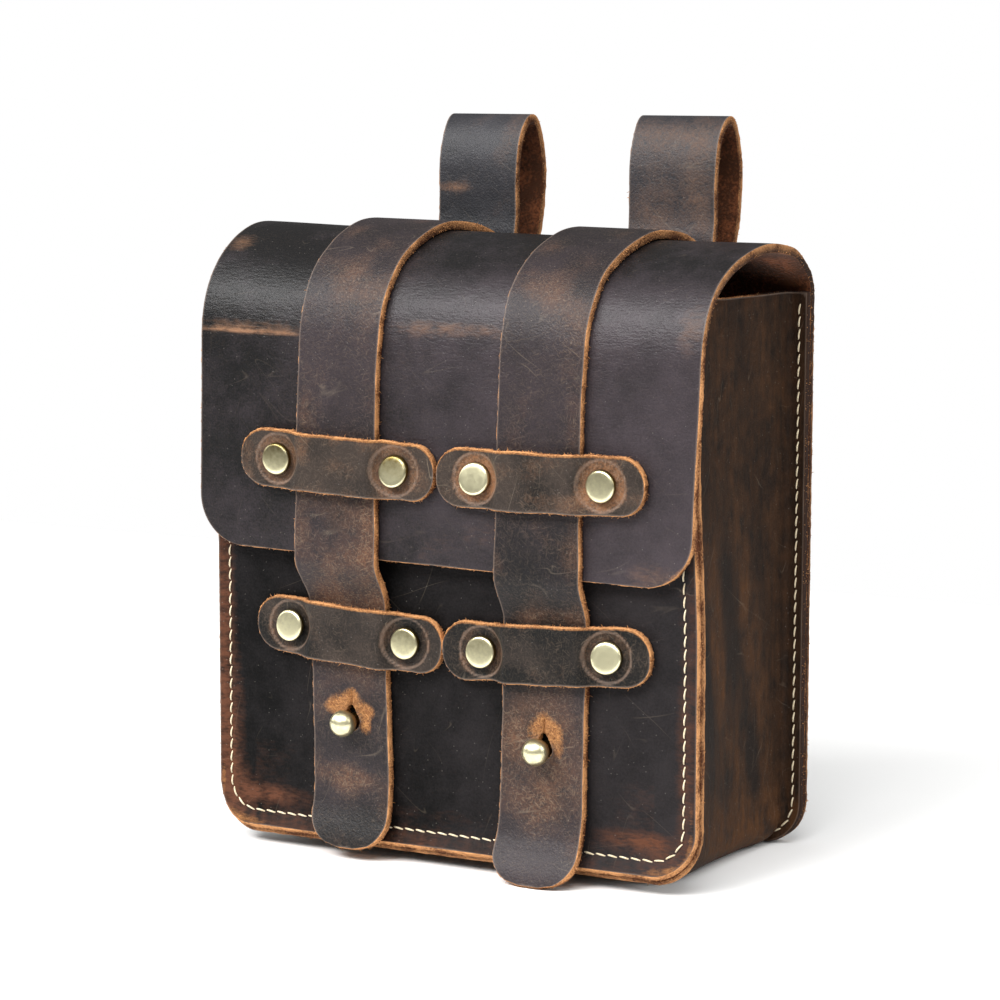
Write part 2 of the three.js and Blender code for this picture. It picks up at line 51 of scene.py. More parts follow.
# %% Camera
CAMERA_PLACE = (429.1, -793.7, 219.0)
CAMERA_AIM = (15.9, -37.2, 103.4)
CAMERA_ROLL = np.radians(0.13)
CAMERA_LENS = 116.1
SENSOR_WIDTH = 36.0
camera_data = bpy.data.cameras.new("camera")
camera_data.lens = CAMERA_LENS
camera_data.sensor_width = SENSOR_WIDTH
camera = bpy.data.objects.new("camera", camera_data)
camera.location = Vector(CAMERA_PLACE) * MM
looking = (Vector(CAMERA_AIM) - Vector(CAMERA_PLACE)).to_track_quat("-Z", "Y")
camera.rotation_mode = "QUATERNION"
camera.rotation_quaternion = looking @ Quaternion((0, 0, 1), CAMERA_ROLL)
bpy.context.collection.objects.link(camera)
bpy.context.scene.camera = camera
print("camera at", tuple(round(v, 3) for v in camera.location))

# %% [markdown]
# Materials are trees of nodes. They could be drawn by hand in the shader editor, but a script can be read
# and changed in one place. One function adds a node, sets it up and links it, and each finish below is a
# list of such calls. Colours are written as they look on a screen, so one function turns them to the
# linear numbers that light is added up in.

# %% Node and colour helpers
def linear(code):
    """Linear RGBA from an sRGB hex code: each channel through the sRGB curve."""
    channel = np.array([int(code[i : i + 2], 16) for i in (1, 3, 5)]) / 255
    value = np.where(channel <= 0.04045, channel / 12.92, ((channel + 0.055) / 1.055) ** 2.4)
    return (*value.tolist(), 1.0)


def add(tree, kind, inputs=None, out=0, **settings):
    """Adds one shader node. inputs maps a socket's name or number to a value or another node's output."""
    node = tree.nodes.new("ShaderNode" + kind)
    for key, value in settings.items():
        setattr(node, key, value)
    sockets = [socket for socket in node.inputs if socket.enabled]
    for key, value in (inputs or {}).items():
        socket = sockets[key] if isinstance(key, int) else next(s for s in sockets if s.name == key)
        if isinstance(value, bpy.types.NodeSocket):
            tree.links.new(value, socket)
        else:
            socket.default_value = value
    outputs = [socket for socket in node.outputs if socket.enabled]
    return node.outputs[out] if isinstance(out, str) else (outputs[out] if outputs else node)


def per(size):
    """A texture's scale, in features per metre, for features of a size in millimetres."""
    return 1 / (size * MM)


def shifted(tree, value, *noises):
    """A value with noises added to it, each of them spread from minus to plus its own reach."""
    for noise, reach in noises:
        shift = add(tree, "MapRange", {"Value": noise, "To Min": -reach, "To Max": reach})
        value = add(tree, "Math", {0: value, 1: shift}, operation="ADD")
    return value


def new_material(name):
    """An empty material and its tree, with the Object coordinates that its patterns are laid out in."""
    material = bpy.data.materials.new(name)
    material.use_nodes = True
    material.node_tree.nodes.clear()
    place = add(material.node_tree, "TexCoord", out="Object")
    return material, material.node_tree, place


def finish_material(tree, colour, roughness, normal, **sockets):
    """Ends a tree in one Principled shader. sockets are values that are the same all over the surface."""
    inputs = {"Base Color": colour, "Roughness": roughness, "Normal": normal}
    inputs.update({key.replace("_", " "): value for key, value in sockets.items()})
    shader = add(tree, "BsdfPrincipled", inputs)
    add(tree, "OutputMaterial", {"Surface": shader})


print("screen grey #808080 is", round(linear("#808080")[0], 3), "of full light")

# %% [markdown]
# The studio is a plain pale floor under soft light. A wide softbox in front on the left draws the broad
# sheen over the flap's bend, a fill beside the camera lightens its shadow, and weaker ones on both sides
# pick out the cut edges. A panorama of a real studio could light the bag too, but softboxes can be moved
# and dimmed one by one. The surroundings are a white sweep that is lit less than it looks, as a
# photographer does with dark waxed leather, so that it doesn't grey the blacks: it is brightest overhead,
# weak at eye level and weaker still behind the bag.

# %% Studio
BAG_MIDDLE = (0.0, 0.0, 0.1)
SOFTBOXES = {  # place in metres, width and height in metres, watts
    "key_softbox": ((-0.5, -1.0, 1.0), (1.1, 0.4), 24),
    "fill_softbox": ((0.25, -0.8, 1.15), (1.2, 0.7), 16),
    "left_softbox": ((-1.3, -0.2, 0.7), (0.6, 0.8), 5),
    "right_softbox": ((1.2, 0.2, 0.8), (0.7, 0.8), 8),
}
EYE_LEVEL, OVERHEAD = 0.2, 0.6  # the sweep's light
BEHIND = 0.45  # the share of it that is left behind the bag

for name, (place, size, watts) in SOFTBOXES.items():
    data = bpy.data.lights.new(name, "AREA")
    data.shape = "RECTANGLE"
    data.size, data.size_y = size
    data.energy = watts
    light = bpy.data.objects.new(name, data)
    light.location = place
    light.rotation_mode = "QUATERNION"
    light.rotation_quaternion = (Vector(BAG_MIDDLE) - Vector(place)).to_track_quat("-Z", "Y")
    bpy.context.collection.objects.link(light)

world = bpy.data.worlds.new("studio")
bpy.context.scene.world = world
world.use_nodes = True
tree = world.node_tree
tree.nodes.clear()
seen = add(tree, "LightPath", out="Is Camera Ray")
direction = add(tree, "TexCoord", out="Object")
upward, backward = (add(tree, "SeparateXYZ", {"Vector": direction}, out=axis) for axis in "ZY")
upper = add(tree, "MapRange", {"Value": upward, "From Max": 0.8, "To Min": EYE_LEVEL, "To Max": OVERHEAD})
fading = {"Value": backward, "From Min": -0.1, "From Max": 0.6, "To Min": 1.0, "To Max": BEHIND}
lit = add(tree, "Math", {0: upper, 1: add(tree, "MapRange", fading)}, operation="MULTIPLY")
strength = add(tree, "Mix", {"Factor": seen, "A": lit, "B": 1.0})
sweep = add(tree, "Background", {"Color": linear("#ffffff"), "Strength": strength})
add(tree, "OutputWorld", {"Surface": sweep})
bpy.context.scene.view_settings.view_transform = "Standard"
print("lights:", len(SOFTBOXES), "softboxes and the sweep")

# %% [markdown]
# The bag stands on matt white paper. One large face would do, but a small grid shows, on the simplest
# surface, how the meshes below are made: points worked out as whole arrays, and quads that count through
# them. The paper ends a short way in front of the bag, because pale paper further out would be mirrored
# in the flap and grey it.

# %% Floor
FLOOR_X = (-0.7, 0.8)
FLOOR_Y = (-0.35, 0.45)
FLOOR_POINTS = 9
TOOTH_SIZE = 2.0  # real paper's tooth is near 0.2 mm, too fine to show


def grid_quads(rows, columns):
    """Quads of a grid of vertex numbers. A step along a row crossed with one to the next row points out."""
    number = np.arange(rows * columns).reshape(rows, columns)
    corners = [number[:-1, :-1], number[:-1, 1:], number[1:, 1:], number[1:, :-1]]
    return np.stack(corners, -1).reshape(-1, 4)


floor_x, floor_y = np.meshgrid(*(np.linspace(*side, FLOOR_POINTS) for side in (FLOOR_X, FLOOR_Y)))
floor_mesh = bpy.data.meshes.new("floor")
floor_points = np.stack([floor_x, floor_y, 0 * floor_x], -1).reshape(-1, 3)
floor_mesh.from_pydata(floor_points, [], grid_quads(*floor_x.shape))
floor = bpy.data.objects.new("floor", floor_mesh)
bpy.context.collection.objects.link(floor)
paper, tree, place = new_material("matt_white_backdrop_paper")
tooth = add(tree, "TexNoise", {"Vector": place, "Scale": per(TOOTH_SIZE), "Detail": 3.0})
paper_bump = add(tree, "Bump", {"Height": tooth, "Strength": 0.05, "Distance": 0.2 * MM})
finish_material(tree, linear("#f9f9f8"), 0.95, paper_bump, Specular_IOR_Level=0.1)
floor_mesh.materials.append(paper)
print("floor:", len(floor_mesh.polygons), "faces")

# %% [markdown]
# Waxed leather isn't smooth to the eye: its fibres show as a fine nap, and handling leaves hairline
# scratches in a few directions. A picture of scratches would repeat on a large panel. Noise that is
# turned and drawn out along one axis gives both patterns, at their own size and without an end.

# %% Fibres and scratches
FIBRE_SIZE = 0.32  # real fibres are near 0.1 mm, too fine to show
LINE_BEND = 7.0  # size of the smooth noise whose level lines are the scratches
LINE_AREA = 4.0
LINE_LEVEL = 0.007  # a scratch's half width, as a share of the smooth noise's range
STRETCH = 6.0  # how far fibres and scratches are drawn out


def hairlines(tree, laid):
    """Long fine scratches: the level lines of a smooth noise, kept only in scattered areas."""
    smooth = add(tree, "TexNoise", {"Vector": laid, "Scale": per(LINE_BEND), "Detail": 1.0})
    level = add(tree, "Math", {0: smooth, 1: 0.5}, operation="SUBTRACT")
    off = add(tree, "Math", {0: level}, operation="ABSOLUTE")
    line = add(tree, "MapRange", {"Value": off, "From Max": LINE_LEVEL, "To Min": 1.0, "To Max": 0.0})
    area = add(tree, "TexNoise", {"Vector": laid, "Scale": per(LINE_AREA), "Detail": 1.0})
    where = add(tree, "MapRange", {"Value": area, "From Min": 0.58, "From Max": 0.72})
    return add(tree, "Math", {0: line, 1: where}, operation="MULTIPLY")


def fibres_and_scratches(tree, place, turns):
    """Two patterns along several directions, the stronger one wherever they cross. For each direction the
    coordinates are turned and drawn out. The fibres are a fine noise in them, the scratches hairlines."""
    nap, scored = 0.0, 0.0
    for turn in turns:
        drawn = {"Vector": place, "Rotation": turn, "Scale": (1.0, 1.0, STRETCH)}
        laid = add(tree, "Mapping", drawn, vector_type="TEXTURE")
        fine = {"Vector": laid, "Scale": per(FIBRE_SIZE), "Detail": 2.0, "Roughness": 0.6}
        nap = add(tree, "Math", {0: nap, 1: add(tree, "TexNoise", fine)}, operation="MAXIMUM")
        scored = add(tree, "Math", {0: scored, 1: hairlines(tree, laid)}, operation="MAXIMUM")
    return nap, scored


print("fibres:", FIBRE_SIZE, "mm across and", STRETCH, "times as long")

# %% [markdown]
# The leather is waxed pull-up leather: a vegetable-tanned hide stuffed with dark wax. Where it is bent or
# rubbed, the wax moves away and the brown hide shows. So the colour goes from a deep wax tone, through
# clouds of the body tone, to the pulled brown where the mask "worn" is high. A second mask raises the body
# tone: partly where the wax is paler, and partly as painted light and shade, where a side is painted
# lighter or a top darker because of how the light falls. Pulled wax breaks up along fine wrinkles, so a
# noise that is drawn out along them breaks up the mask "worn". Scuffed fibres, hairline scratches and
# specks of dust lighten the surface. Where the mask "raw" is high the grain is torn off and the tan hide
# lies open. The mask "edge" is the distance in millimetres to the nearest cut, or to the ring that the
# rivet press leaves, for the thin pale line there.
#
# All of it could be painted on a picture for each piece. Noise and masks are used instead, because they
# stay sharp at any distance, and a mask can be worked out with the shape that it belongs to.

# %% Waxed pull-up leather
CLOUD_SIZE = 24.0
MOTTLE_SIZE = 5.0
GRAIN_SIZE = 0.5  # real pores are near 0.3 mm, too fine to show
WRINKLE_SIZE = 0.7
SPECK_SPACING = 2.0  # specks of dust in the wax
SCUFFED, SCRATCHED, DUSTY, CUT = "#8c7865", "#a3937f", "#b9b2a8", "#7d6d62"
OPEN_HIDE = ("#6a4024", "#c08b56")


def pull_up_leather(name, tones, turns, wrinkle, scratch, scuff, shine, gloss):
    """Waxed leather. tones: deep wax, body and pulled hide. turns: directions of its scratches. wrinkle:
    how the noise that breaks up the wear is drawn out. scratch and scuff: how strong these show. shine
    and gloss: roughness of the wax and how much it reflects."""
    deep, body, pulled = (linear(tone) for tone in tones)
    material, tree, place = new_material(name)
    bloom, worn, edge, torn = (
        add(tree, "Attribute", out="Fac", attribute_name=mask) for mask in ("bloom", "worn", "edge", "raw")
    )
    folded = add(tree, "Mapping", {"Vector": place, "Scale": wrinkle})
    patterns = [(place, CLOUD_SIZE, 3.0), (place, MOTTLE_SIZE, 4.0), (place, GRAIN_SIZE, 2.0)]
    cloud, mottle, pores, wrinkles = (
        add(tree, "TexNoise", {"Vector": laid, "Scale": per(size), "Detail": detail})
        for laid, size, detail in patterns + [(folded, WRINKLE_SIZE, 3.0)]
    )
    nap, scored = fibres_and_scratches(tree, place, turns)

    # The body tone's share here is partly paler wax and partly painted light and shade.
    depth = shifted(tree, bloom, (cloud, 0.7), (pores, 0.4), (mottle, 0.3))
    loose = shifted(tree, 0.0, (mottle, 1.0), (wrinkles, 1.1))
    rubbed = add(tree, "Math", {0: worn, 1: loose, 2: worn}, operation="MULTIPLY_ADD")
    rub = add(tree, "MapRange", {"Value": rubbed, "From Min": 0.1, "From Max": 1.0})
    scuffed = add(tree, "MapRange", {"Value": nap, "From Min": 0.56, "From Max": 0.74, "To Max": scuff})
    handled = add(tree, "MapRange", {"Value": worn, "From Max": 0.5, "To Min": 0.22, "To Max": 1.2})
    scuffed = add(tree, "Math", {0: scuffed, 1: handled}, operation="MULTIPLY")
    faint = add(tree, "Math", {0: scored, 1: scratch}, operation="MULTIPLY")
    cells = add(tree, "TexVoronoi", {"Vector": place, "Scale": per(SPECK_SPACING)}, out="Distance")
    speck = {"Value": cells, "From Min": 0.05, "From Max": 0.09, "To Min": 0.15, "To Max": 0.0}
    knife = {"Value": edge, "From Min": 0.1, "From Max": 0.5, "To Min": 0.45, "To Max": 0.0}
    speck, knife = (add(tree, "MapRange", near) for near in (speck, knife))
    ragged = add(tree, "Math", {0: loose, 1: 0.6}, operation="MULTIPLY")
    frayed = add(tree, "Math", {0: torn, 1: ragged, 2: torn}, operation="MULTIPLY_ADD")
    bare = add(tree, "MapRange", {"Value": frayed, "From Min": 0.25, "From Max": 0.75})
    fibrous = add(tree, "MapRange", {"Value": nap, "From Min": 0.45, "From Max": 0.8})

    tan, pale_tan = (linear(tone) for tone in OPEN_HIDE)
    opened = add(tree, "Mix", {"Factor": fibrous, "A": tan, "B": pale_tan}, data_type="RGBA")
    layers = [(depth, body), (rub, pulled), (scuffed, linear(SCUFFED)), (faint, linear(SCRATCHED))]
    layers += [(speck, linear(DUSTY)), (knife, linear(CUT)), (bare, opened)]
    colour = deep
    for amount, tone in layers:
        colour = add(tree, "Mix", {"Factor": amount, "A": colour, "B": tone}, data_type="RGBA")

    matt = add(tree, "Math", {0: rub, 1: bare}, operation="MAXIMUM")
    roughness = add(tree, "MapRange", {"Value": matt, "To Min": shine, "To Max": shine + 0.2})
    fuzz = add(tree, "Math", {0: bare, 1: pores}, operation="MULTIPLY")
    reliefs = [(pores, 0.5, 0.2), (wrinkles, 0.3, 0.4), (mottle, 0.24, 0.9), (nap, 0.25, 0.2)]
    below = {}
    for height, strength, reach in reliefs + [(fuzz, 0.6, 0.5)]:
        bump = {"Height": height, "Strength": strength, "Distance": reach * MM, **below}
        below = {"Normal": add(tree, "Bump", bump)}
    finish_material(tree, colour, roughness, below["Normal"], Specular_IOR_Level=gloss)
    return material


print("pores:", round(per(GRAIN_SIZE)), "to the metre")

# %% [markdown]
# The pieces of a bag are cut from different parts of a hide and wear in their own way. One material could
# serve them all, but then the polished straps and the sheltered gusset would look alike. So each kind has
# a row in a table: its three tones, the directions of its scratches and wrinkles, and how worn and how
# glossy it is.

# %% Leathers of the bag
FACING_FRONT = [(0, np.radians(angle), 0) for angle in (15, 72, 130)]
FACING_SIDE = [(np.radians(angle), 0, 0) for angle in (4, -12, 60)]
ALONG_X = (0.3, 1.0, 1.0)
ALL_ROUND = (1.0, 1.0, 1.0)
ALONG_Z = (0.5, 0.3, 0.07)
LEATHER_ROWS = {  # tones, directions of scratches, wrinkle, scratch, scuff, shine, gloss
    "flap": (("#0b0a0b", "#383135", "#7a5840"), FACING_FRONT, ALONG_X, 0.06, 0.14, 0.41, 0.24),
    # The panel's tones are darker than the flap's: partly its own tone, partly painted shade.
    "panel": (("#060606", "#252223", "#543425"), FACING_FRONT, ALONG_X, 0.1, 0.03, 0.5, 0.08),
    "gusset": (("#0f0906", "#20140c", "#4a2f1a"), FACING_SIDE, ALONG_Z, 0.12, 0.06, 0.62, 0.13),
    "strap": (("#121011", "#2e272a", "#5f412e"), FACING_FRONT, ALL_ROUND, 0.15, 0.4, 0.45, 0.22),
    "keeper": (("#080807", "#322a25", "#80593d"), FACING_FRONT, ALL_ROUND, 0.3, 0.45, 0.48, 0.19),
    "loop": (("#17181b", "#333236", "#634939"), FACING_FRONT, ALL_ROUND, 0.1, 0.16, 0.46, 0.24),
}
leathers = {
    kind: pull_up_leather(f"waxed_pull_up_leather_{kind}", *row) for kind, row in LEATHER_ROWS.items()
}
print("pull-up leathers:", len(leathers))

# %% [markdown]
# A raw cut edge shows the hide's own tan, darker and lighter by the fibre, and darker towards the flesh
# side, which the mask "deep" counts across the thickness. A second mask darkens some cut edges, most
# towards the top and the back of the bag: partly their own darker tone, partly painted shade. The flesh
# side inside the bag is the same hide as suede: a short warm brown nap.
# Both are matt, and the nap has a little sheen. One function makes both, because only the tones, the size
# of the fibre and the sheen differ.

# %% Raw edge and suede
BAND_SIZE = 7.0
EDGE_FIBRE, SUEDE_FIBRE = 0.5, 0.8  # real fibres are near 0.1 mm, too fine to show
# The tone of the darkened cut edges: partly their own, partly painted shade.
DARK_EDGE_AND_SHADE_TONE = "#2a1a12"


def hide(name, dark, light, fibre, sheen):
    """Undyed hide: two tones mixed by fibre-sized noise, matt, with fibres in relief."""
    material, tree, place = new_material(name)
    deep, soil = (add(tree, "Attribute", out="Fac", attribute_name=mask) for mask in ("deep", "soil"))
    nap, bands = (
        add(tree, "TexNoise", {"Vector": place, "Scale": per(size), "Detail": detail})
        for size, detail in ((fibre, 4.0), (BAND_SIZE, 2.0))
    )
    faded = add(tree, "MapRange", {"Value": deep, "To Min": 0.16, "To Max": -0.16})
    both = add(tree, "Math", {0: nap, 1: bands}, operation="ADD")
    toned = add(tree, "Math", {0: both, 1: faded}, operation="ADD")
    tone = add(tree, "MapRange", {"Value": toned, "From Min": 0.78, "From Max": 1.18})
    inner = add(tree, "MapRange", {"Value": deep, "To Min": 0.3, "To Max": 1.0})
    # Darkened cut edges, partly their own tone and partly painted shade, most towards the flesh side.
    soiled = add(tree, "Math", {0: soil, 1: inner}, operation="MULTIPLY")
    colour = linear(dark)
    for amount, layer in ((tone, linear(light)), (soiled, linear(DARK_EDGE_AND_SHADE_TONE))):
        colour = add(tree, "Mix", {"Factor": amount, "A": colour, "B": layer}, data_type="RGBA")
    relief = add(tree, "Bump", {"Height": nap, "Strength": 0.7, "Distance": 0.6 * MM})
    finish_material(tree, colour, 0.88, relief, Specular_IOR_Level=0.2, Sheen_Weight=sheen)
    return material


RAW_EDGE = hide("raw_cut_leather_edge", "#522a12", "#c88f5d", EDGE_FIBRE, 0.0)
SUEDE = hide("suede_flesh_side", "#452510", "#824a2a", SUEDE_FIBRE, 0.1)
print("hides:", RAW_EDGE.name, SUEDE.name)

# %% [markdown]
# The hardware is antique brass: pale, brushed to a soft gloss on top, with a brown film left in the
# corners. The mask for the film is worked out with the turned profile, and on the rivet caps it also
# carries painted shade. The thread is waxed polyester in cream, twisted from plies. Both are small in the
# picture, so one noise each is enough for their dents and plies. Pictures of worn metal could be wrapped
# round the pieces, but at this size only gloss and film would be seen.

# %% Brass and thread
SMEAR_SIZE = 1.6
PLY_SIZE = 0.5  # real plies are near 0.2 mm, too fine to show
BRASS, tree, place = new_material("antique_brass")
smear = add(tree, "TexNoise", {"Vector": place, "Scale": per(SMEAR_SIZE), "Detail": 4.0})
film_and_painted_shade = add(tree, "Attribute", out="Fac", attribute_name="film_and_painted_shade")
filmed_and_shaded = shifted(tree, film_and_painted_shade, (smear, 0.3))
tarnish_and_shade = add(tree, "MapRange", {"Value": filmed_and_shaded, "From Min": 0.1, "From Max": 0.85})
tarnish_and_shade = {"Factor": tarnish_and_shade, "A": linear("#f2ebc2"), "B": linear("#6b5c33")}
colour = add(tree, "Mix", tarnish_and_shade, data_type="RGBA")
roughness = add(tree, "MapRange", {"Value": smear, "To Min": 0.24, "To Max": 0.4})
dents = add(tree, "Bump", {"Height": smear, "Strength": 0.04, "Distance": 0.4 * MM})
finish_material(tree, colour, roughness, dents, Metallic=1.0)

THREAD, tree, place = new_material("waxed_cream_thread")
plies = add(tree, "TexNoise", {"Vector": place, "Scale": per(PLY_SIZE), "Detail": 2.0})
plied = {"Factor": plies, "A": linear("#ae9468"), "B": linear("#f8edd2")}
colour = add(tree, "Mix", plied, data_type="RGBA")
twist = add(tree, "Bump", {"Height": plies, "Strength": 0.3, "Distance": 0.2 * MM})
finish_material(tree, colour, 0.55, twist)
print("hardware and thread:", BRASS.name, THREAD.name)

# %% [markdown]
# Every piece comes into Blender in the same way: points and faces as whole arrays, straight into a mesh.
# Operators could add and join simple shapes, but they depend on what is selected. Each point also carries
# a number for every mask that its finish reads, worked out with the shape.

# %% Meshes
BODY_DEPTH = 74.4


def place_mesh(name, points, faces, materials, node=None, indices=None, masks=None, sharp=50):
    """A mesh object from points in the bag's own millimetres, whose depth is counted from the front. It
    stands for a node of the solid model, if there is one."""
    mesh = bpy.data.meshes.new(name)
    metres = (points - [0, BODY_DEPTH / 2, 0]) * MM
    mesh.from_pydata(metres, [], faces)
    for material in materials:
        mesh.materials.append(material)
    if indices is not None:
        mesh.polygons.foreach_set("material_index", indices)
    for key, values in (masks or {}).items():
        mesh.attributes.new(key, "FLOAT", "POINT").data.foreach_set("value", np.float32(values))
    mesh.shade_smooth()
    mesh.set_sharp_from_angle(angle=np.radians(sharp))
    mesh.validate()
    piece = bpy.data.objects.new(name, mesh)
    bpy.context.collection.objects.link(piece)
    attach(piece, "root")
    if node:
        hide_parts(node)
    print(f"{name}: {len(mesh.polygons)} faces")


print("front of the body at", round(-BODY_DEPTH / 2, 1), "mm")

# %% [markdown]
# To give a sheet its thickness, two things have to be known: which way it faces at each point, and where
# it was cut. Blender can tell both for a finished mesh. They are worked out here from the quads, because
# the flesh side and the rim have to be there before the mesh is made.

# %% Sides and cut edges
def unit(vectors):
    """Vectors of length one: each is divided by its own length."""
    return vectors / np.linalg.norm(vectors, axis=-1, keepdims=True)


def vertex_normals(points, quads):
    """The mean direction of the quads round each point: each quad's own is the cross of its diagonals."""
    corner = points[quads]
    facing = np.cross(corner[:, 2] - corner[:, 0], corner[:, 3] - corner[:, 1])
    total = np.zeros_like(points)
    np.add.at(total, quads.ravel(), np.repeat(facing, 4, axis=0))
    return unit(total)


def cut_lines(quads):
    """The edges that only one quad uses, each in its quad's own turn."""
    edges = np.stack([quads, np.roll(quads, -1, axis=1)], -1).reshape(-1, 2)
    count = edges.max() + 1
    forward = edges[:, 0] * count + edges[:, 1]
    backward = edges[:, 1] * count + edges[:, 0]
    return edges[~np.isin(forward, backward)]


def nearest(points, others):
    """Distance from each point to the nearest of the others, from squares and a product of matrices."""
    squares = (points**2).sum(1)[:, None] + (others**2).sum(1)[None] - 2 * points @ others.T
    return np.sqrt(np.maximum(squares.min(1), 0))


print("one quad has", len(cut_lines(np.array([[0, 1, 2, 3]]))), "cut edges")

# %% [markdown]
# Every leather piece is one sheet with a thickness. The sheet's grain side is a grid of points worked out
# by a formula. A Solidify modifier could thicken it, but a cut edge is what the eye looks for on a raw
# leather bag, so the wall is built here: the flesh side one thickness down, and a rim of a few rows that
# bulge out and wander a little, as a cut edge does once it has been handled.

# %% The leather wall
LEATHER = 2.4
GAP = 0.3
LAYER = LEATHER + GAP
RIM_SHARES = np.array([0.08, 0.25, 0.5, 0.75, 0.92])  # rows across the thickness
RIM_BULGE = 0.2
RIM_WANDER = 0.16
rng = np.random.default_rng(7)
rims = {}  # the cut edges of each wall, for the loose fibres that stand on them


def leather_wall(node, grain, leather, slot, quads=None, flesh=None, **masks):
    """A closed wall for one node: grain side, flesh side one thickness down, and a rim of rows that bulge
    outwards. grain is a grid of points, or a list of them with its quads. masks are values at them."""
    shape = grain.shape[:-1]
    quads = grid_quads(*shape) if quads is None else quads
    grain = grain.reshape(-1, 3)
    normals = vertex_normals(grain, quads)
    flesh = grain - LEATHER * normals if flesh is None else flesh.reshape(-1, 3)
    edges = cut_lines(quads)
    ring, spot = np.unique(edges, return_inverse=True)
    spot = spot.reshape(edges.shape)
    along = grain[edges[:, 1]] - grain[edges[:, 0]]
    outward = np.zeros((len(ring), 3))
    np.add.at(outward, spot.ravel(), np.repeat(np.cross(along, normals[edges[:, 0]]), 2, axis=0))
    outward = unit(outward)
    shares = RIM_SHARES[:, None]
    bulge = RIM_BULGE * 2 * np.sqrt(shares * (1 - shares))
    bulge = bulge + RIM_WANDER * rng.uniform(-1, 1, (len(RIM_SHARES), len(ring)))
    middle = grain[ring] + shares[..., None] * (flesh[ring] - grain[ring])
    rim = (middle + bulge[..., None] * outward).reshape(-1, 3)

    count = len(grain)
    numbers = np.arange(len(rim)).reshape(len(RIM_SHARES), -1) + count
    rows = np.concatenate([ring[None], numbers, ring[None] + count + len(rim)])
    start, end = rows[:, spot[:, 0]], rows[:, spot[:, 1]]
    rim_quads = np.stack([start[:-1], start[1:], end[1:], end[:-1]], -1).reshape(-1, 4)
    flesh_quads = quads[:, ::-1] + count + len(rim)
    indices = np.repeat([0, 1, 2], [len(quads), len(rim_quads), len(flesh_quads)])
    near = nearest(grain, grain[ring])
    masks = {"raw": 0.0, "soil": 0.0, "bloom": 0.5, "edge": near.reshape(shape), **masks}
    masks = {key: np.broadcast_to(mask, shape).ravel() for key, mask in masks.items()}
    masks["edge"] = np.minimum(masks["edge"], near)
    spread = {key: np.concatenate([m, np.tile(m[ring], len(RIM_SHARES)), m]) for key, m in masks.items()}
    spread["soil"][count + len(rim) :] = 0
    spread["deep"] = np.concatenate([np.zeros(count), np.repeat(RIM_SHARES, len(ring)), np.ones(count)])
    points = np.concatenate([grain, rim, flesh])
    faces = np.concatenate([quads, rim_quads, flesh_quads])
    layers = [leather, RAW_EDGE, SUEDE]
    place_mesh(f"{node}_leather", points, faces, layers, node, indices, spread)
    edge = {"grain": grain[ring], "flesh": flesh[ring], "outward": outward}
    rims[node] = {**edge, "spot": spot, "slot": slot}


print("one layer:", round(LAYER, 1), "mm with its gap")

# %% [markdown]
# Small shapes come up again and again: a soft step between two values, a bell that fades with distance,
# the inset of a round corner, and columns that lie close together next to a cut edge, where the grid has
# to be finer than in the middle. Blender's bevels and curves could give some of them, but as formulas
# they serve meshes and masks alike.

# %% Shape helpers
def smoothstep(value, start, end):
    """0 before start, 1 after end, and 3t^2 - 2t^3 between them."""
    t = np.clip((value - start) / (end - start), 0, 1)
    return t * t * (3 - 2 * t)


def bell(value, reach):
    """1 at nought, fading on both sides as e to the minus square of the value over its reach."""
    return np.exp(-((value / reach) ** 2))


def corner_rows(radius, steps):
    """Distances from an edge that are spaced evenly round a quarter circle."""
    return radius * (1 - np.cos(np.linspace(0, np.pi / 2, steps + 1)))


def corner_inset(radius, distance):
    """How far a round corner pulls the side in, at a distance from the edge."""
    inside = np.clip(radius - distance, 0, radius)
    return radius - np.sqrt(radius**2 - inside**2)


def close_to_ends(fine, half, step):
    """Shares from -1 to 1 of a half width in millimetres: fine places next to both ends, even between."""
    fine = np.array(fine) / half
    inner = 1 - fine[-1]
    even = np.linspace(-inner, inner, int(round(2 * inner * half / step)) + 1)
    return np.concatenate([-1 + fine[:-1], even, (1 - fine[:-1])[::-1]])


print("a soft step, a quarter of the way:", smoothstep(0.25, 0, 1))

# %% [markdown]
# A bent strip is a line carried across its width, so smooth lines are wanted: a curve through a few given
# points, taken again at even steps. Blender's own curves could give them, but arrays can be worked on
# further. Wear is made of soft oval patches and slow ripples over the same coordinates.

# %% Lines and wear
def curve_through(points, per_span):
    """A centripetal Catmull-Rom curve through the rows of an array: in each span, a cubic whose slopes at
    the ends come from the points on both sides, weighted by the square roots of their distances."""
    ends = np.concatenate([[2 * points[0] - points[1]], points, [2 * points[-1] - points[-2]]])
    gap = np.linalg.norm(np.diff(ends, axis=0), axis=-1, keepdims=True) ** 0.5
    p0, p1, p2, p3 = ends[:-3], ends[1:-2], ends[2:-1], ends[3:]
    g0, g1, g2 = gap[:-2], gap[1:-1], gap[2:]
    m1 = ((p1 - p0) / g0 - (p2 - p0) / (g0 + g1) + (p2 - p1) / g1) * g1
    m2 = ((p2 - p1) / g1 - (p3 - p1) / (g1 + g2) + (p3 - p2) / g2) * g1
    t = np.linspace(0, 1, per_span, endpoint=False).reshape(1, per_span, *([1] * (points.ndim - 1)))
    p1, p2, m1, m2 = (a[:, None] for a in (p1, p2, m1, m2))
    cubic = (2 * t**3 - 3 * t**2 + 1) * p1 + (t**3 - 2 * t**2 + t) * m1
    cubic = cubic + (3 * t**2 - 2 * t**3) * p2 + (t**3 - t**2) * m2
    return np.concatenate([cubic.reshape(-1, *points.shape[1:]), points[-1:]])


def lengths_along(points):
    """How far each point is from the first one, along the line that they draw."""
    return np.concatenate([[0], np.cumsum(np.linalg.norm(np.diff(points, axis=0), axis=1))])


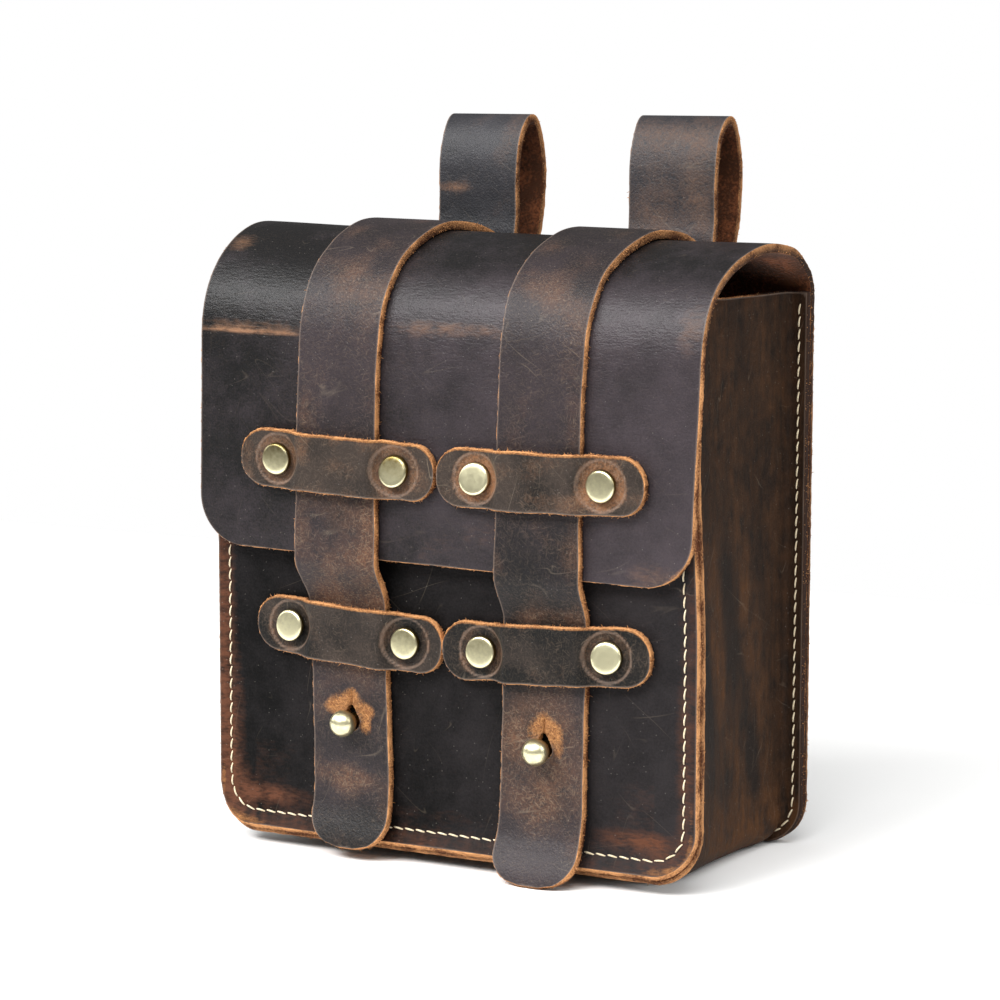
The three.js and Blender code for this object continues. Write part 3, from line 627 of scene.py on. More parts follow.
def evenly(points, step, axes=None):
    """Rows resampled at even steps along the line that their first axes draw."""
    length = lengths_along(points[:, :axes])
    places = np.linspace(0, length[-1], int(round(length[-1] / step)) + 1)
    return np.stack([np.interp(places, length, column) for column in points.T], -1)


def ripple(a, b, size, seed):
    """A gentle uneven surface between about -1 and 1: five waves of about one size in drawn directions."""
    draw = np.random.default_rng(seed)
    turn, phase = draw.uniform(0, 2 * np.pi, (2, 5))
    length = size * draw.uniform(0.7, 1.5, 5)
    wave = (a[..., None] * np.cos(turn) + b[..., None] * np.sin(turn)) * 2 * np.pi / length + phase
    return np.sin(wave).mean(-1) * 1.6


def rubs(a, b, patches):
    """A sum of soft oval patches. Each row: middle a, middle b, reach along a, reach along b, amount."""
    at_a, at_b, reach_a, reach_b, amount = np.array(patches, float).T
    far = ((a[..., None] - at_a) / reach_a) ** 2 + ((b[..., None] - at_b) / reach_b) ** 2
    return (amount * np.exp(-far)).sum(-1)


print("a curve through three points:", len(curve_through(np.eye(3), 4)), "points")

# %% [markdown]
# The front panel is flat, with round bottom corners. At the bottom seam it flares forward over the
# gusset's turned-out flange. It could be sculpted, but then the seam and its stitches would have to be
# fitted by eye. So its depth is a function of the distance to its edge: a straight lip, an arc, and flat
# above. A shallow groove follows the seam, and the leather puckers between the needle holes. On the
# right, the body is pressed in a little behind the flap.

# %% Panel shape
HALF_WIDTH = 75.0
FRONT_HEIGHT = 147.5
LIP_HEIGHT = 5.8
PANEL_CORNER = 12.0
FLARE_ANGLE = np.radians(36)
FLARE_RADIUS = 11.0
FLARE_LIP = 2.0
SEAM_INSET = 3.6
STITCH_PITCH = 3.5
GROOVE_DEPTH, GROOVE_WIDTH = 0.4, 1.0
PUCKER_DEPTH, PUCKER_WIDTH = 0.14, 2.2
TUCK_REACH = 2.0
TUCK_HEIGHTS, TUCK_SIDE, TUCK_FADE = (65, 118), (45, 75), (20, 62)  # where the tuck grows and fades again


def tucked(points):
    """Points of the body, pressed in on the right behind the flap and less so further back."""
    x, depth, height = np.moveaxis(points, -1, 0)
    inwards = smoothstep(height, *TUCK_HEIGHTS) * smoothstep(x, *TUCK_SIDE)
    inwards = inwards * (1 - smoothstep(depth, *TUCK_FADE))
    return points - TUCK_REACH * inwards[..., None] * [1, 0, 0]


def flare(distance):
    """Forward reach of the lip and its slope, at a distance from the edge: an arc, then a straight end."""
    lip = FLARE_LIP * np.cos(FLARE_ANGLE)
    bend = FLARE_RADIUS * np.sin(FLARE_ANGLE)
    angle = np.arcsin(np.clip(lip + bend - distance, 0, bend) / FLARE_RADIUS)
    straight = np.maximum(lip - distance, 0) * np.tan(FLARE_ANGLE)
    return FLARE_RADIUS * (1 - np.cos(angle)) + straight, np.tan(angle)


def panel_frame(x, height):
    """Distance to the U-shaped edge, the way along it from the bottom's middle, and the corner's turn."""
    past = np.maximum(np.abs(x) - (HALF_WIDTH - PANEL_CORNER), 0)
    below = np.maximum(LIP_HEIGHT + PANEL_CORNER - height, 0)
    turn = np.arctan2(past, below)
    flat = np.minimum(np.abs(x), HALF_WIDTH - PANEL_CORNER)
    climb = np.maximum(height - LIP_HEIGHT - PANEL_CORNER, 0)
    way = flat + (PANEL_CORNER - SEAM_INSET) * np.where(past + below > 0, turn, 0) + climb
    return PANEL_CORNER - np.hypot(past, below), np.sign(x) * way, turn


def panel_depth(x, height):
    """The flare, at full reach along the bottom and fading round the corners with the cosine squared."""
    distance, _, turn = panel_frame(x, height)
    reach = flare(np.maximum(distance, 0))[0] * np.cos(turn) ** 2
    return np.where(height < LIP_HEIGHT + PANEL_CORNER, -reach, 0)


def stitch_wave(way):
    """A cosine that has one wave for each stitch."""
    return np.cos(2 * np.pi * way / STITCH_PITCH)


def seam_relief(distance, way):
    """A groove along the seam, with small puckers towards the edge from stitch to stitch."""
    groove = GROOVE_DEPTH * bell(distance - SEAM_INSET, GROOVE_WIDTH)
    return groove + PUCKER_DEPTH * (stitch_wave(way) * bell(distance - SEAM_INSET, PUCKER_WIDTH))


print("the lip reaches", round(float(flare(0)[0]), 2), "mm forward")

# %% [markdown]
# The panel is a grid that follows its round corners, with finer columns next to the cut edges. It is the
# darkest leather of the bag: partly its own tone, partly painted shade. Its wax is painted paler towards
# the right, as painted light. It is rubbed brown along the seam, where the lip bends, and at the corners
# that the bag has been set down on. A plate with a bevelled edge could stand for it, but the lip, the
# puckers at the stitches and the wear need points in between.

# %% Front panel
PANEL_FINE = [0, 0.3, 0.7, 1.3, 2.0, 2.8, 3.6, 4.4, 5.4, 6.6]
PANEL_STEP = 1.16
PANEL_RUBS = [  # across, height, reach across, reach up, amount
    (-69, 15, 5, 7, 0.6), (-71, 32, 4, 18, 0.5), (-73, 62, 2.6, 40, 0.4), (67, 12, 5, 4, 0.35),
    (71.5, 36, 2.0, 26, 0.35),
]
PANEL_CUTS = [
    (-64, 9, 7, 3.5, 0.9), (64, 9, 7, 3.0, 0.9), (72.8, 20, 1.6, 9, 0.8), (-73.5, 19, 1.2, 6, 0.7),
]
SEAM_WEAR, CUT_WEAR = 4.6, 1.8  # how far wear reaches in from the edge
corner = LIP_HEIGHT + corner_rows(PANEL_CORNER, 18)
heights = np.concatenate([corner, np.linspace(corner[-1], FRONT_HEIGHT, 111)[1:]])
columns = close_to_ends(PANEL_FINE, HALF_WIDTH, PANEL_STEP)
reach = HALF_WIDTH - corner_inset(PANEL_CORNER, heights - LIP_HEIGHT)
x = columns[None] * reach[:, None]
z = np.broadcast_to(heights[:, None], x.shape)
distance, way, turn = panel_frame(x, z)
panel = tucked(np.stack([x, panel_depth(x, z) + seam_relief(distance, way), z], -1))
from_edge = np.maximum(distance, 0)
stitched = 0.45 + np.where(x < -60, 0.3, 0.1) * stitch_wave(way)
by_seam = bell(from_edge, SEAM_WEAR) * stitched
low_bend = bell(distance - 8.5, 2.6) * np.cos(turn) ** 2 * (z < 30)
low_bend = low_bend * (0.12 + 0.7 * smoothstep(np.abs(x), 40, 60))
leather_wall(
    "front_panel",
    panel,
    leathers["panel"],
    "body_leather",
    worn=by_seam * np.where(x < 0, 0.8, 0.55) + low_bend + rubs(x, z, PANEL_RUBS),
    raw=rubs(x, z, PANEL_CUTS) * bell(from_edge, CUT_WEAR),
    # Painted light: the panel's wax is made paler towards the right.
    bloom=0.25 + 0.5 * smoothstep(x, -20, 70),
)

# %% [markdown]
# The gusset is one long strip that hangs in a U between the panels. Its section runs from the front
# flange, which follows the panel's flare, round a bend, along the side, and out again into the back
# flange. One profile carried along a U would keep the same section all the way. This one changes round
# the corners, so a few rails give it, each of them a U with sizes of its own.

# %% Gusset shape
MOUTH_HEIGHT = 157.3
MOUTH_SLOPE = (5.1, 20.0)
CORNER_START, CORNER_END = 0.4, 0.75
FLANGE_INSETS = (0, 2.3, 4.5)
FLANGE_DROP = LEATHER + LAYER  # from the panel's grain side to the far side of the flange under it
GUSSET_RAILS = np.array(
    [  # half width, height of the bottom, corner radius, depth at the sides, depth at the bottom
        (69.1, 9.6, 8, 5.9, 5.2), (68.5, 8.6, 8, 7.6, 7.0), (68.3, 4.8, 9, 11, 9.4),
        (68.1, 1.2, 10, 15, 12), (67.9, 0, 10, 20, 15.5), (67.4, 0, 9, 37, 37), (67.9, 0, 8, 54, 57),
        (68.4, 0.1, 7, 61, 62), (69.2, 0.5, 7, 66.6, 66), (69.8, 1.2, 8, 68.5, 68.4),
        (71.0, 1.6, 9, 69.2, 69.2), (75, 0.3, 12, 69.2, 69.2),
    ]
)


def corner_turn(share):
    """The angle round the U's corner at a share of it: 0 along the bottom, a quarter turn up the sides."""
    return np.pi / 2 * np.clip((np.abs(share) - CORNER_START) / (CORNER_END - CORNER_START), 0, 1)


def u_points(half, low, radius, share, depth):
    """Points of a U that hangs from the mouth: along the bottom, round the corner, up the side."""
    size = np.abs(share)
    turn = corner_turn(share)
    mouth = FRONT_HEIGHT + (MOUTH_HEIGHT - FRONT_HEIGHT) * smoothstep(depth, *MOUTH_SLOPE)
    along = np.minimum(size / CORNER_START, 1) * (half - radius)
    climb = np.maximum((size - CORNER_END) / (1 - CORNER_END), 0) * (mouth - low - radius)
    across = np.sign(share) * (along + radius * np.sin(turn))
    height = low + radius * (1 - np.cos(turn)) + climb
    return tucked(np.stack(np.broadcast_arrays(across, depth, height), -1))


print("gusset section:", len(FLANGE_INSETS) + len(GUSSET_RAILS), "rails")

# %% [markdown]
# A smooth curve is laid through the rails at every place round the U. The sides get shallow dents and
# upright streaks, as stiff leather does that has been folded in again and again. The cut edges are darker
# at the back and along the front flange: partly their own tone, partly painted shade. The solid model's
# own mesh could be shown instead, but it has too few points for dents and wear.

# %% Gusset
DENT_DEPTH, DENT_SIZE = 0.7, 46
GUSSET_RUBS = [  # depth, height, reach in depth, reach up, amount
    (6, 9, 6, 8, 0.6), (8, 40, 3, 50, 0.25), (50, 8, 26, 9, 0.55),
]
flat_part = np.linspace(0, CORNER_START, 24)
round_corner = np.linspace(CORNER_START, CORNER_END, 19)[1:]
half = np.concatenate([flat_part, round_corner, np.linspace(CORNER_END, 1, 56)[1:]])
share = np.concatenate([-half[:0:-1], half])
amount = np.cos(corner_turn(share)) ** 2
rails = []
for inset in FLANGE_INSETS:
    lip_reach, lip_slope = flare(inset)
    tilt = np.arctan(amount * lip_slope)
    inward = inset - FLANGE_DROP * np.sin(tilt)
    lip_depth = FLANGE_DROP * np.cos(tilt) - amount * lip_reach
    sizes = (HALF_WIDTH - inward, LIP_HEIGHT + inward, PANEL_CORNER - inward)
    rails.append(u_points(*sizes, share, lip_depth))
for half_width, low, radius, side, bottom in GUSSET_RAILS:
    rails.append(u_points(half_width, low, radius, share, side + (bottom - side) * amount))
gusset = curve_through(np.stack(rails), 5).transpose(1, 0, 2)
depth, height = gusset[..., 1], gusset[..., 2]
side_wall = smoothstep(depth, 9, 22) * smoothstep(depth, 66, 54)
side_wall = side_wall * smoothstep(height, 4, 20)
dent = DENT_DEPTH * ripple(depth, height, DENT_SIZE, seed=3) * side_wall
gusset = gusset + np.sign(gusset[..., :1]) * np.stack([dent, 0 * dent, 0 * dent], -1)
streaks = 0.3 + 0.25 * ripple(depth, height * 0.3, size=15, seed=11) * side_wall
leather_wall(
    "gusset",
    gusset,
    leathers["gusset"],
    "body_leather",
    worn=streaks + rubs(depth, height, GUSSET_RUBS),
    # Painted shade, partly the edges' own tone: darker cut edges at the back and along the front flange.
    soil=3.0 * smoothstep(depth, 40, 64) + 0.45 * smoothstep(depth, 9, 5),
)

# %% [markdown]
# The back panel runs on over the top as the flap: one long sheet, bent by a curve in its side view. A
# Curve modifier could bend a flat sheet, but on the real bag the flap is closed a little askew: it is
# turned in its own plane, its left side stands further out, and its crest lies further forward there.
# These are small shifts of a point, which grow with its place across the bag, so they are added to the
# bent sheet.

# %% Flap shape
FLAP_STAND_OFF = 4.8
FLAP_SKEW = 1.0
FLAP_LEAN = 1.4
TURN_HEIGHT = 120.0
CREST_SKEW = 5.0
SKEW_DEPTH = 34.0
ARCH = np.array(
    [  # depth and height of the grain side, from the flap's front to the back
        (-4.8, 110), (-4.8, 125), (-4.3, 138), (-3.1, 149), (-0.2, 156.8), (4.8, 163), (12, 167.6),
        (19.3, 170.5), (27, 172.5), (34, 173.2), (42, 172.8), (51, 171.5), (60, 169), (68, 165.4),
        (72.6, 161.8), (74.3, 157.5), (74.4, 150), (74.4, 140),
    ]
)
arch = evenly(curve_through(ARCH, 24), 0.8)


def flap_share(depth):
    """How much of the flap's shifts there is: none on the back, all of them from the arch on."""
    return smoothstep(BODY_DEPTH - depth, 0, SKEW_DEPTH)


def askew(depth, height, x):
    """Shifts at a place of the side view and across: a turn about one height, and skew and lean that grow
    with x."""
    share, side = flap_share(depth), x / HALF_WIDTH
    crest = np.sin(np.pi * np.clip(depth / BODY_DEPTH, 0, 1)) ** 2
    turn = share * FLAP_LEAN / HALF_WIDTH * (height - TURN_HEIGHT)
    parts = [turn, (FLAP_SKEW * share + CREST_SKEW * crest) * side, -FLAP_LEAN * share * side]
    return np.stack(np.broadcast_arrays(*parts), -1)


def outward_of(line):
    """Directions that point out of a line of depths and heights: its steps turned by a quarter."""
    return unit(np.gradient(line, axis=0)) @ np.array([[0, 1], [-1, 0]])


print("arch:", len(arch), "points, its top at", round(arch[:, 1].max(), 1), "mm")

# %% [markdown]
# The sheet is worked out along its side view from the hem to the foot, and across between its two sides,
# which curl away from the bag over the bend. Wear is laid out along the unrolled leather: pulled lines
# where the flap bends. Painted light and shade are laid out with it: the wax is painted paler towards the
# right and darker over the top. A cloth simulation could let the flap hang, but leather this stiff keeps
# the bend that it was formed to.

# %% Back panel and flap
FOOT_HEIGHT = 0.3
HEM_HEIGHT = 84.8
HEM_CORNER = 14.0
FLAP_LEFT, FLAP_RIGHT, FLAP_SPREAD = 76.6, 75.4, 1.2
FLAP_FINE = [0, 0.3, 0.7, 1.3, 2.2, 3.2, 4.4]
FLAP_STEP = 1.58
FLAP_CURL = 1.5
FLAP_RUBS = [  # across, along the leather from the hem, reach across, reach along, amount
    (-62, 60.4, 17, 0.6, 1.0), (-60, 61.8, 18, 1.6, 0.32), (2, 64.6, 17, 2.4, 0.36), (72, 68, 3.5, 7, 0.16),
    (-72.5, 88, 3.0, 3.0, 0.3), (-52, 24, 10, 6, 0.2), (66, 3, 9, 5, 0.25),
]
FLAP_CUTS = [(66, 5, 7, 4, 0.75), (75, 64, 1.2, 9, 0.5)]
hem = HEM_HEIGHT + corner_rows(HEM_CORNER, 16)
flat_front = np.linspace(hem[-1], ARCH[0, 1], 9)[1:-1]
flat_back = np.linspace(ARCH[-1, 1], FOOT_HEIGHT + PANEL_CORNER, 80)[1:-1]
foot = FOOT_HEIGHT + corner_rows(PANEL_CORNER, 12)[::-1]
fronts, backs = len(hem) + len(flat_front), len(flat_back) + len(foot)
line_height = np.concatenate([hem, flat_front, arch[:, 1], flat_back, foot])
line_depth = np.concatenate([np.full(fronts, -FLAP_STAND_OFF), arch[:, 0], np.full(backs, BODY_DEPTH)])
line = np.stack([line_depth, line_height], -1)
line_inset = np.zeros(len(line))
line_inset[: len(hem)] = corner_inset(HEM_CORNER, hem - HEM_HEIGHT)
line_inset[-len(foot) :] = corner_inset(PANEL_CORNER, foot - FOOT_HEIGHT)
right_side = FLAP_RIGHT + FLAP_SPREAD * smoothstep(line_height, 98, 150)
reach_left, reach_right = (
    (HALF_WIDTH + (side - HALF_WIDTH) * flap_share(line_depth) - line_inset)[:, None]
    for side in (FLAP_LEFT, right_side)
)
columns = close_to_ends(FLAP_FINE, HALF_WIDTH, FLAP_STEP)
x = columns[None] * np.where(columns < 0, reach_left, reach_right)
depth, height = line_depth[:, None], line_height[:, None]
over_bend = smoothstep(height, 125, 155) * (1 - smoothstep(depth, 10, 50))
curl = FLAP_CURL * smoothstep(np.abs(x), 45, 76) * over_bend
line_out = outward_of(line)
lifted = [x, depth + curl * line_out[:, :1], height + curl * line_out[:, 1:]]
unrolled = np.broadcast_to(lengths_along(line)[:, None], x.shape)
from_side = np.where(x < 0, reach_left + x, reach_right - x)
leather_wall(
    "back_and_flap",
    np.stack(lifted, -1) + askew(depth, height, x),
    leathers["flap"],
    "body_leather",
    worn=rubs(x, unrolled, FLAP_RUBS) + 0.1 * ripple(x, unrolled, size=30, seed=5),
    raw=rubs(x, unrolled, FLAP_CUTS) * bell(from_side, 1.4),
    # Painted light and shade: paler wax towards the right, darker wax over the top.
    bloom=(0.1 + 0.7 * smoothstep(x, -90, 70)) * (1 - 0.9 * smoothstep(unrolled, 70, 92)),
    # Painted shade, partly the edges' own tone: darker cut edges over the top and at the back.
    soil=smoothstep(height, 136, 158) + 1.2 * smoothstep(depth, 52, 70),
)

# %% [markdown]
# Each strap starts sewn to the back, lies over the arch and the flap, steps down past the hem onto the
# panel, runs under its lower keeper and curls out over the flared lip. A cloth simulation could lay it
# there, but the leather is stiff and its path is known. The path is one line, and the strap is that line
# carried across its width.

# %% Strap line
STRAP_TAIL_HEIGHT = 118.0
STRAP_DROP = (71.0, 84.5)
STRAP_FRONT = np.array(
    [  # share of the way up to the lower keeper, and how far it stands out
        (0, 5.4), (0.033, 4.9), (0.075, 3.9), (0.13, 2.4), (0.2, 1.1), (0.3, 0.4), (0.53, 0.1), (0.77, 0),
        (1, 0),
    ]
)
SIDES = {
    "left": {"x": -31.2, "sway": 2.8, "curl": 1.0, "end": 3.8, "slim": 0.5, "stud": 38.7},
    "right": {"x": 31.2, "sway": -0.8, "curl": 1.45, "end": 0.7, "slim": 0.0, "stud": 36.9},
}


def strap_middle(side, height):
    """The strap's middle across the bag: straight on the flap, swaying to the side below the hem."""
    return side["x"] + side["sway"] * np.maximum(1 - height / HEM_HEIGHT, 0)


def strap_line(side):
    """The strap's middle line from its free end to its tail. Columns: depth, height, the same of the flap
    under it, share of the flap's skew, share of its lean, and the middle across."""
    curl = curve_through(STRAP_FRONT, 8)
    low = side["end"] + (STRAP_DROP[0] - side["end"]) * curl[:, 0]
    step = np.linspace(*STRAP_DROP, 16)[1:]
    flat = np.linspace(STRAP_DROP[1], ARCH[0, 1], 20)[1:-1]
    over = arch + LAYER * outward_of(arch)
    tail = np.linspace(over[-1, 1], STRAP_TAIL_HEIGHT, 18)[1:]
    stepped = smoothstep(step, *STRAP_DROP)
    leaning = smoothstep(flat, STRAP_DROP[1], ARCH[0, 1])
    on_flap = np.full(len(low) + len(step) + len(flat), -FLAP_STAND_OFF)
    behind = np.full(len(tail), BODY_DEPTH)
    depth = [-LAYER - side["curl"] * curl[:, 1], -LAYER - stepped * FLAP_STAND_OFF]
    depth += [on_flap[: len(flat)] - LAYER, over[:, 0], behind + LAYER]
    height = np.concatenate([low, step, flat, over[:, 1], tail])
    flap_depth = np.concatenate([on_flap, arch[:, 0], behind])
    flap_height = np.concatenate([low, step, flat, arch[:, 1], tail])
    rest = np.ones(len(over) + len(tail))
    skew = np.concatenate([0 * low, stepped, np.ones(len(flat)), rest])
    lean = np.concatenate([0 * low, 0 * step, leaning, rest])
    middle = strap_middle(side, np.where(flap_depth < 0, height, HEM_HEIGHT))
    columns = [np.concatenate(depth), height, flap_depth, flap_height, skew, lean, middle]
    return evenly(np.stack(columns, -1), 1.1, axes=2)


for name, side in SIDES.items():
    print(f"strap {name}: {lengths_along(strap_line(side)[:, :2])[-1]:.0f} mm long")

# %% [markdown]
# The strap's keyhole is buttoned onto the stud. A Boolean modifier would punch it, and leave long thin
# triangles that show in the gloss round the hole. Here a window of the grid is taken out and filled with
# rings that go from the window's border to the hole.

# %% Keyhole
KEYHOLE_RADIUS = 2.9
KEYHOLE_DROP, DROP_SPREAD = 1.5, 0.45  # how far the hole is drawn out upwards, and its reach in radians
KEYHOLE_WINDOW = (8.0, 8.0, 9.5)  # to both sides, down and up from the stud
KEYHOLE_RINGS = 12


def keyhole_outline(angle):
    """Radius of the keyhole at an angle: a circle that is drawn out upwards into a drop."""
    return KEYHOLE_RADIUS + KEYHOLE_DROP * bell(angle - np.pi / 2, DROP_SPREAD)


def cut_keyhole(across, along, quads, stud_place):
    """Takes a window out of a grid round a hole and fills it with rings that shrink from the window's
    border to the hole's outline, each point moving straight towards the hole."""
    rows, columns = across.shape
    number = np.arange(rows * columns).reshape(rows, columns)
    aside, down, up = KEYHOLE_WINDOW
    left, right = np.searchsorted(across[rows // 2], [-aside, aside])
    bottom, top = np.searchsorted(along[:, 0], [stud_place - down, stud_place + up])
    sides = [number[bottom, left:right], number[bottom:top, right]]
    sides += [number[top, right:left:-1], number[top:bottom:-1, left]]
    border = np.concatenate(sides)
    inside = number[bottom:top, left:right].ravel()
    kept = quads[~np.isin(quads[:, 0], inside)]
    start = np.stack([across.ravel()[border], along.ravel()[border] - stud_place], -1)
    angle = np.arctan2(start[:, 1], start[:, 0])
    goal = keyhole_outline(angle)[:, None] * np.stack([np.cos(angle), np.sin(angle)], -1)
    share = (np.linspace(0, 1, KEYHOLE_RINGS + 1)[1:] ** 0.8)[:, None, None]
    points = (start + share * (goal - start)).reshape(-1, 2)
    loops = np.arange(len(points)).reshape(KEYHOLE_RINGS, -1) + rows * columns
    loops = np.concatenate([border[None], loops])
    nxt = np.roll(loops, -1, axis=1)
    filled = np.stack([loops[:-1], nxt[:-1], nxt[1:], loops[1:]], -1).reshape(-1, 4)
    across = np.concatenate([across.ravel(), points[:, 0]])
    along = np.concatenate([along.ravel(), points[:, 1] + stud_place])
    used, quads = np.unique(np.concatenate([kept, filled]), return_inverse=True)
    return across[used], along[used], quads.reshape(-1, 4)


print("keyhole:", 2 * KEYHOLE_RADIUS, "mm wide")

# %% [markdown]
# Both straps have the same shape, with a few sizes of their own. The grain is torn round the keyholes,
# where the stud was pushed through many times, and the wax is rubbed off where the keepers hold the
# strap. Each could be modelled by itself, but one loop over a table keeps them alike where they should
# be.

# %% Straps
STRAP_WIDTH = 25.0
STRAP_CORNER = 9.5
STRAP_FINE = [0, 0.3, 0.7, 1.3]
STRAP_STEP = 0.94
STRAP_WANDER = 0.22
CUP = 0.35  # how far the strap's edges curl up at its free end
SLIT_DEPTH, SLIT_WIDTH = 0.9, 0.5
TORN_DEPTH = 0.25
TORN = {  # torn grain round the keyhole: across, up from the stud, reach across, reach up, amount
    "left": [
        (-1.0, 4.8, 4.6, 3.4, 1.0), (-6.0, 3.6, 2.4, 2.0, 0.7), (0.5, 7.6, 1.6, 1.8, 0.7),
        (5.4, 3.2, 2.4, 2.0, 0.9), (4.8, -1.0, 2.0, 2.4, 0.8),
    ],
    "right": [
        (0.0, 6.6, 3.0, 3.4, 1.0), (3.6, 4.4, 2.6, 2.8, 0.9), (-3.2, 4.4, 2.0, 2.6, 0.6),
        (5.0, -0.2, 1.6, 2.4, 0.6),
    ],
}
STRAP_RUBS = {  # across, along the strap from its free end, reach across, reach along, amount
    "left": [
        (0, 19.5, 13, 3.2, 0.4), (2, 62, 16, 14, 0.55), (10.5, 95, 2.5, 26, 0.25), (4, 159, 14, 11, 0.22),
        (9, 84, 5, 3, 0.4), (-10.5, 120, 2, 20, 0.15), (0, 92, 18, 13, 0.2),
    ],
    "right": [
        (-2, 42, 15, 13, 0.42), (2, 24, 12, 7, 0.38), (2, 74, 12, 3, 0.3), (-4, 166, 8, 6, 0.22),
        (7, 160, 6, 9, 0.22), (10.5, 110, 2.5, 30, 0.2),
    ],
}
STRAP_BLOOM = {  # where the wax is paler or, below nought, darker: the same five numbers
    "left": [(0, 4, 20, 10, -0.6), (0, 30, 20, 8, -0.3), (0, 140, 20, 14, 0.5)],
    "right": [(0, 4, 20, 9, 0.5), (0, 72, 20, 22, -0.5), (0, 140, 20, 14, 0.4)],
}
for name, side in SIDES.items():
    line = strap_line(side)
    length = lengths_along(line[:, :2])
    reach = STRAP_WIDTH / 2 - corner_inset(STRAP_CORNER, length) - side["slim"] * smoothstep(length, 74, 60)
    wander = STRAP_WANDER * ripple(length, 0 * length, size=17, seed=21) * smoothstep(length, 0, 12)
    columns = close_to_ends(STRAP_FINE, STRAP_WIDTH / 2, STRAP_STEP)
    across = columns[None] * (reach + wander)[:, None]
    along = np.broadcast_to(length[:, None], across.shape)
    low = len(line) // 3
    stud_place = np.interp(side["stud"], line[:low, 1], length[:low])
    across, along, quads = cut_keyhole(across, along, grid_quads(*across.shape), stud_place)
    depth, height, flap_depth, flap_height, skew, lean, middle = (
        np.interp(along, length, column) for column in line.T
    )
    cup = CUP * (np.abs(across) / (STRAP_WIDTH / 2)) ** 2 * smoothstep(along, 64, 40)
    shifts = askew(flap_depth, flap_height, middle + across) * np.stack([skew, skew, lean], -1)
    points = np.stack([middle + across, depth - cup, height], -1) + shifts
    up = along - stud_place
    torn = rubs(across, up, TORN[name]) * (np.hypot(across, up) > 2)
    slit = bell(across, SLIT_WIDTH) * smoothstep(up, 9.0, 7.5) * (up > 0)
    points[:, 1] += SLIT_DEPTH * slit + TORN_DEPTH * smoothstep(torn, 0.3, 0.7)
    leather_wall(
        f"strap_{name}",
        points,
        leathers["strap"],
        "strap_leather",
        quads,
        worn=rubs(across, along, STRAP_RUBS[name]) + 0.1 * ripple(across, along, size=14, seed=31) + 0.06,
        raw=np.clip(torn, 0, 1.1),
        bloom=0.5 + rubs(across, along, STRAP_BLOOM[name]),
        # Painted shade, partly the edges' own tone: darker cut edges at the top.
        soil=0.7 * smoothstep(height, 148, 165),
    )

# %% [markdown]
# A keeper is a short strip with round ends, riveted at both ends and humped over the strap between them.
# The four differ a little in length and tilt, as pieces do that are cut and set by hand, so each has a
# row in a table. A Lattice could bend a flat strip over the strap, but a formula says exactly how far it
# stays above it.

# %% Keeper shape
KEEPER_COLUMNS = ("x", "z", "tilt", "length", "spacing", "on_flap", "press", "bloom", "dull")
# The caps' film in the last column is partly tarnish and partly painted shade, darker where a cap mirrors
# less light.
KEEPERS = {  # press: how strong the ring shows. dull: film on the outer and the inner cap
    "upper_left": (-31.1, 111.0, -2.0, 61.0, 37.2, True, 0.3, 0.95, (0.9, 1.0)),
    "upper_right": (31.3, 110.0, 0.5, 62.0, 37.6, True, 0.6, 0.75, (0.55, 0.0)),
    "lower_left": (-30.5, 63.2, -3.0, 59.4, 37.2, False, 0.05, 0.45, (0.25, 0.65)),
    "lower_right": (31.0, 62.9, 2.6, 63.0, 38.2, False, 0.12, 0.15, (0.1, 0.6)),
}
KEEPERS = {name: dict(zip(KEEPER_COLUMNS, row)) for name, row in KEEPERS.items()}


def hump(x, drop):
    """The rise over the strap: one layer within its width, gone a little past its edge."""
    return LAYER * (1 - smoothstep(np.abs(x) - STRAP_WIDTH / 2, *drop))


def on_bag(points, keeper):
    """Points of a keeper, about its own middle, turned by its tilt and set on the flap or on the panel."""
    tilt = np.radians(keeper["tilt"])
    x, depth, z = np.moveaxis(points, -1, 0)
    skew = FLAP_SKEW / HALF_WIDTH if keeper["on_flap"] else 0.0
    base = skew * keeper["x"] - FLAP_STAND_OFF if keeper["on_flap"] else 0.0
    right = x * np.cos(tilt) - z * np.sin(tilt)
    up = x * np.sin(tilt) + z * np.cos(tilt)
    return np.stack([keeper["x"] + right, base + depth + skew * right, keeper["z"] + up], -1)


print("keepers:", {name: keeper["length"] for name, keeper in KEEPERS.items()}, "mm long")

# %% [markdown]
# Grain and flesh side have their own formula here, because an offset of the tight bend beside the strap
# would fold through itself. The rivet press has left a ring in the leather round each cap: it is pressed
# into the shape, and the wax is paler along it. The upper edges are frayed, so the raw hide shows there.

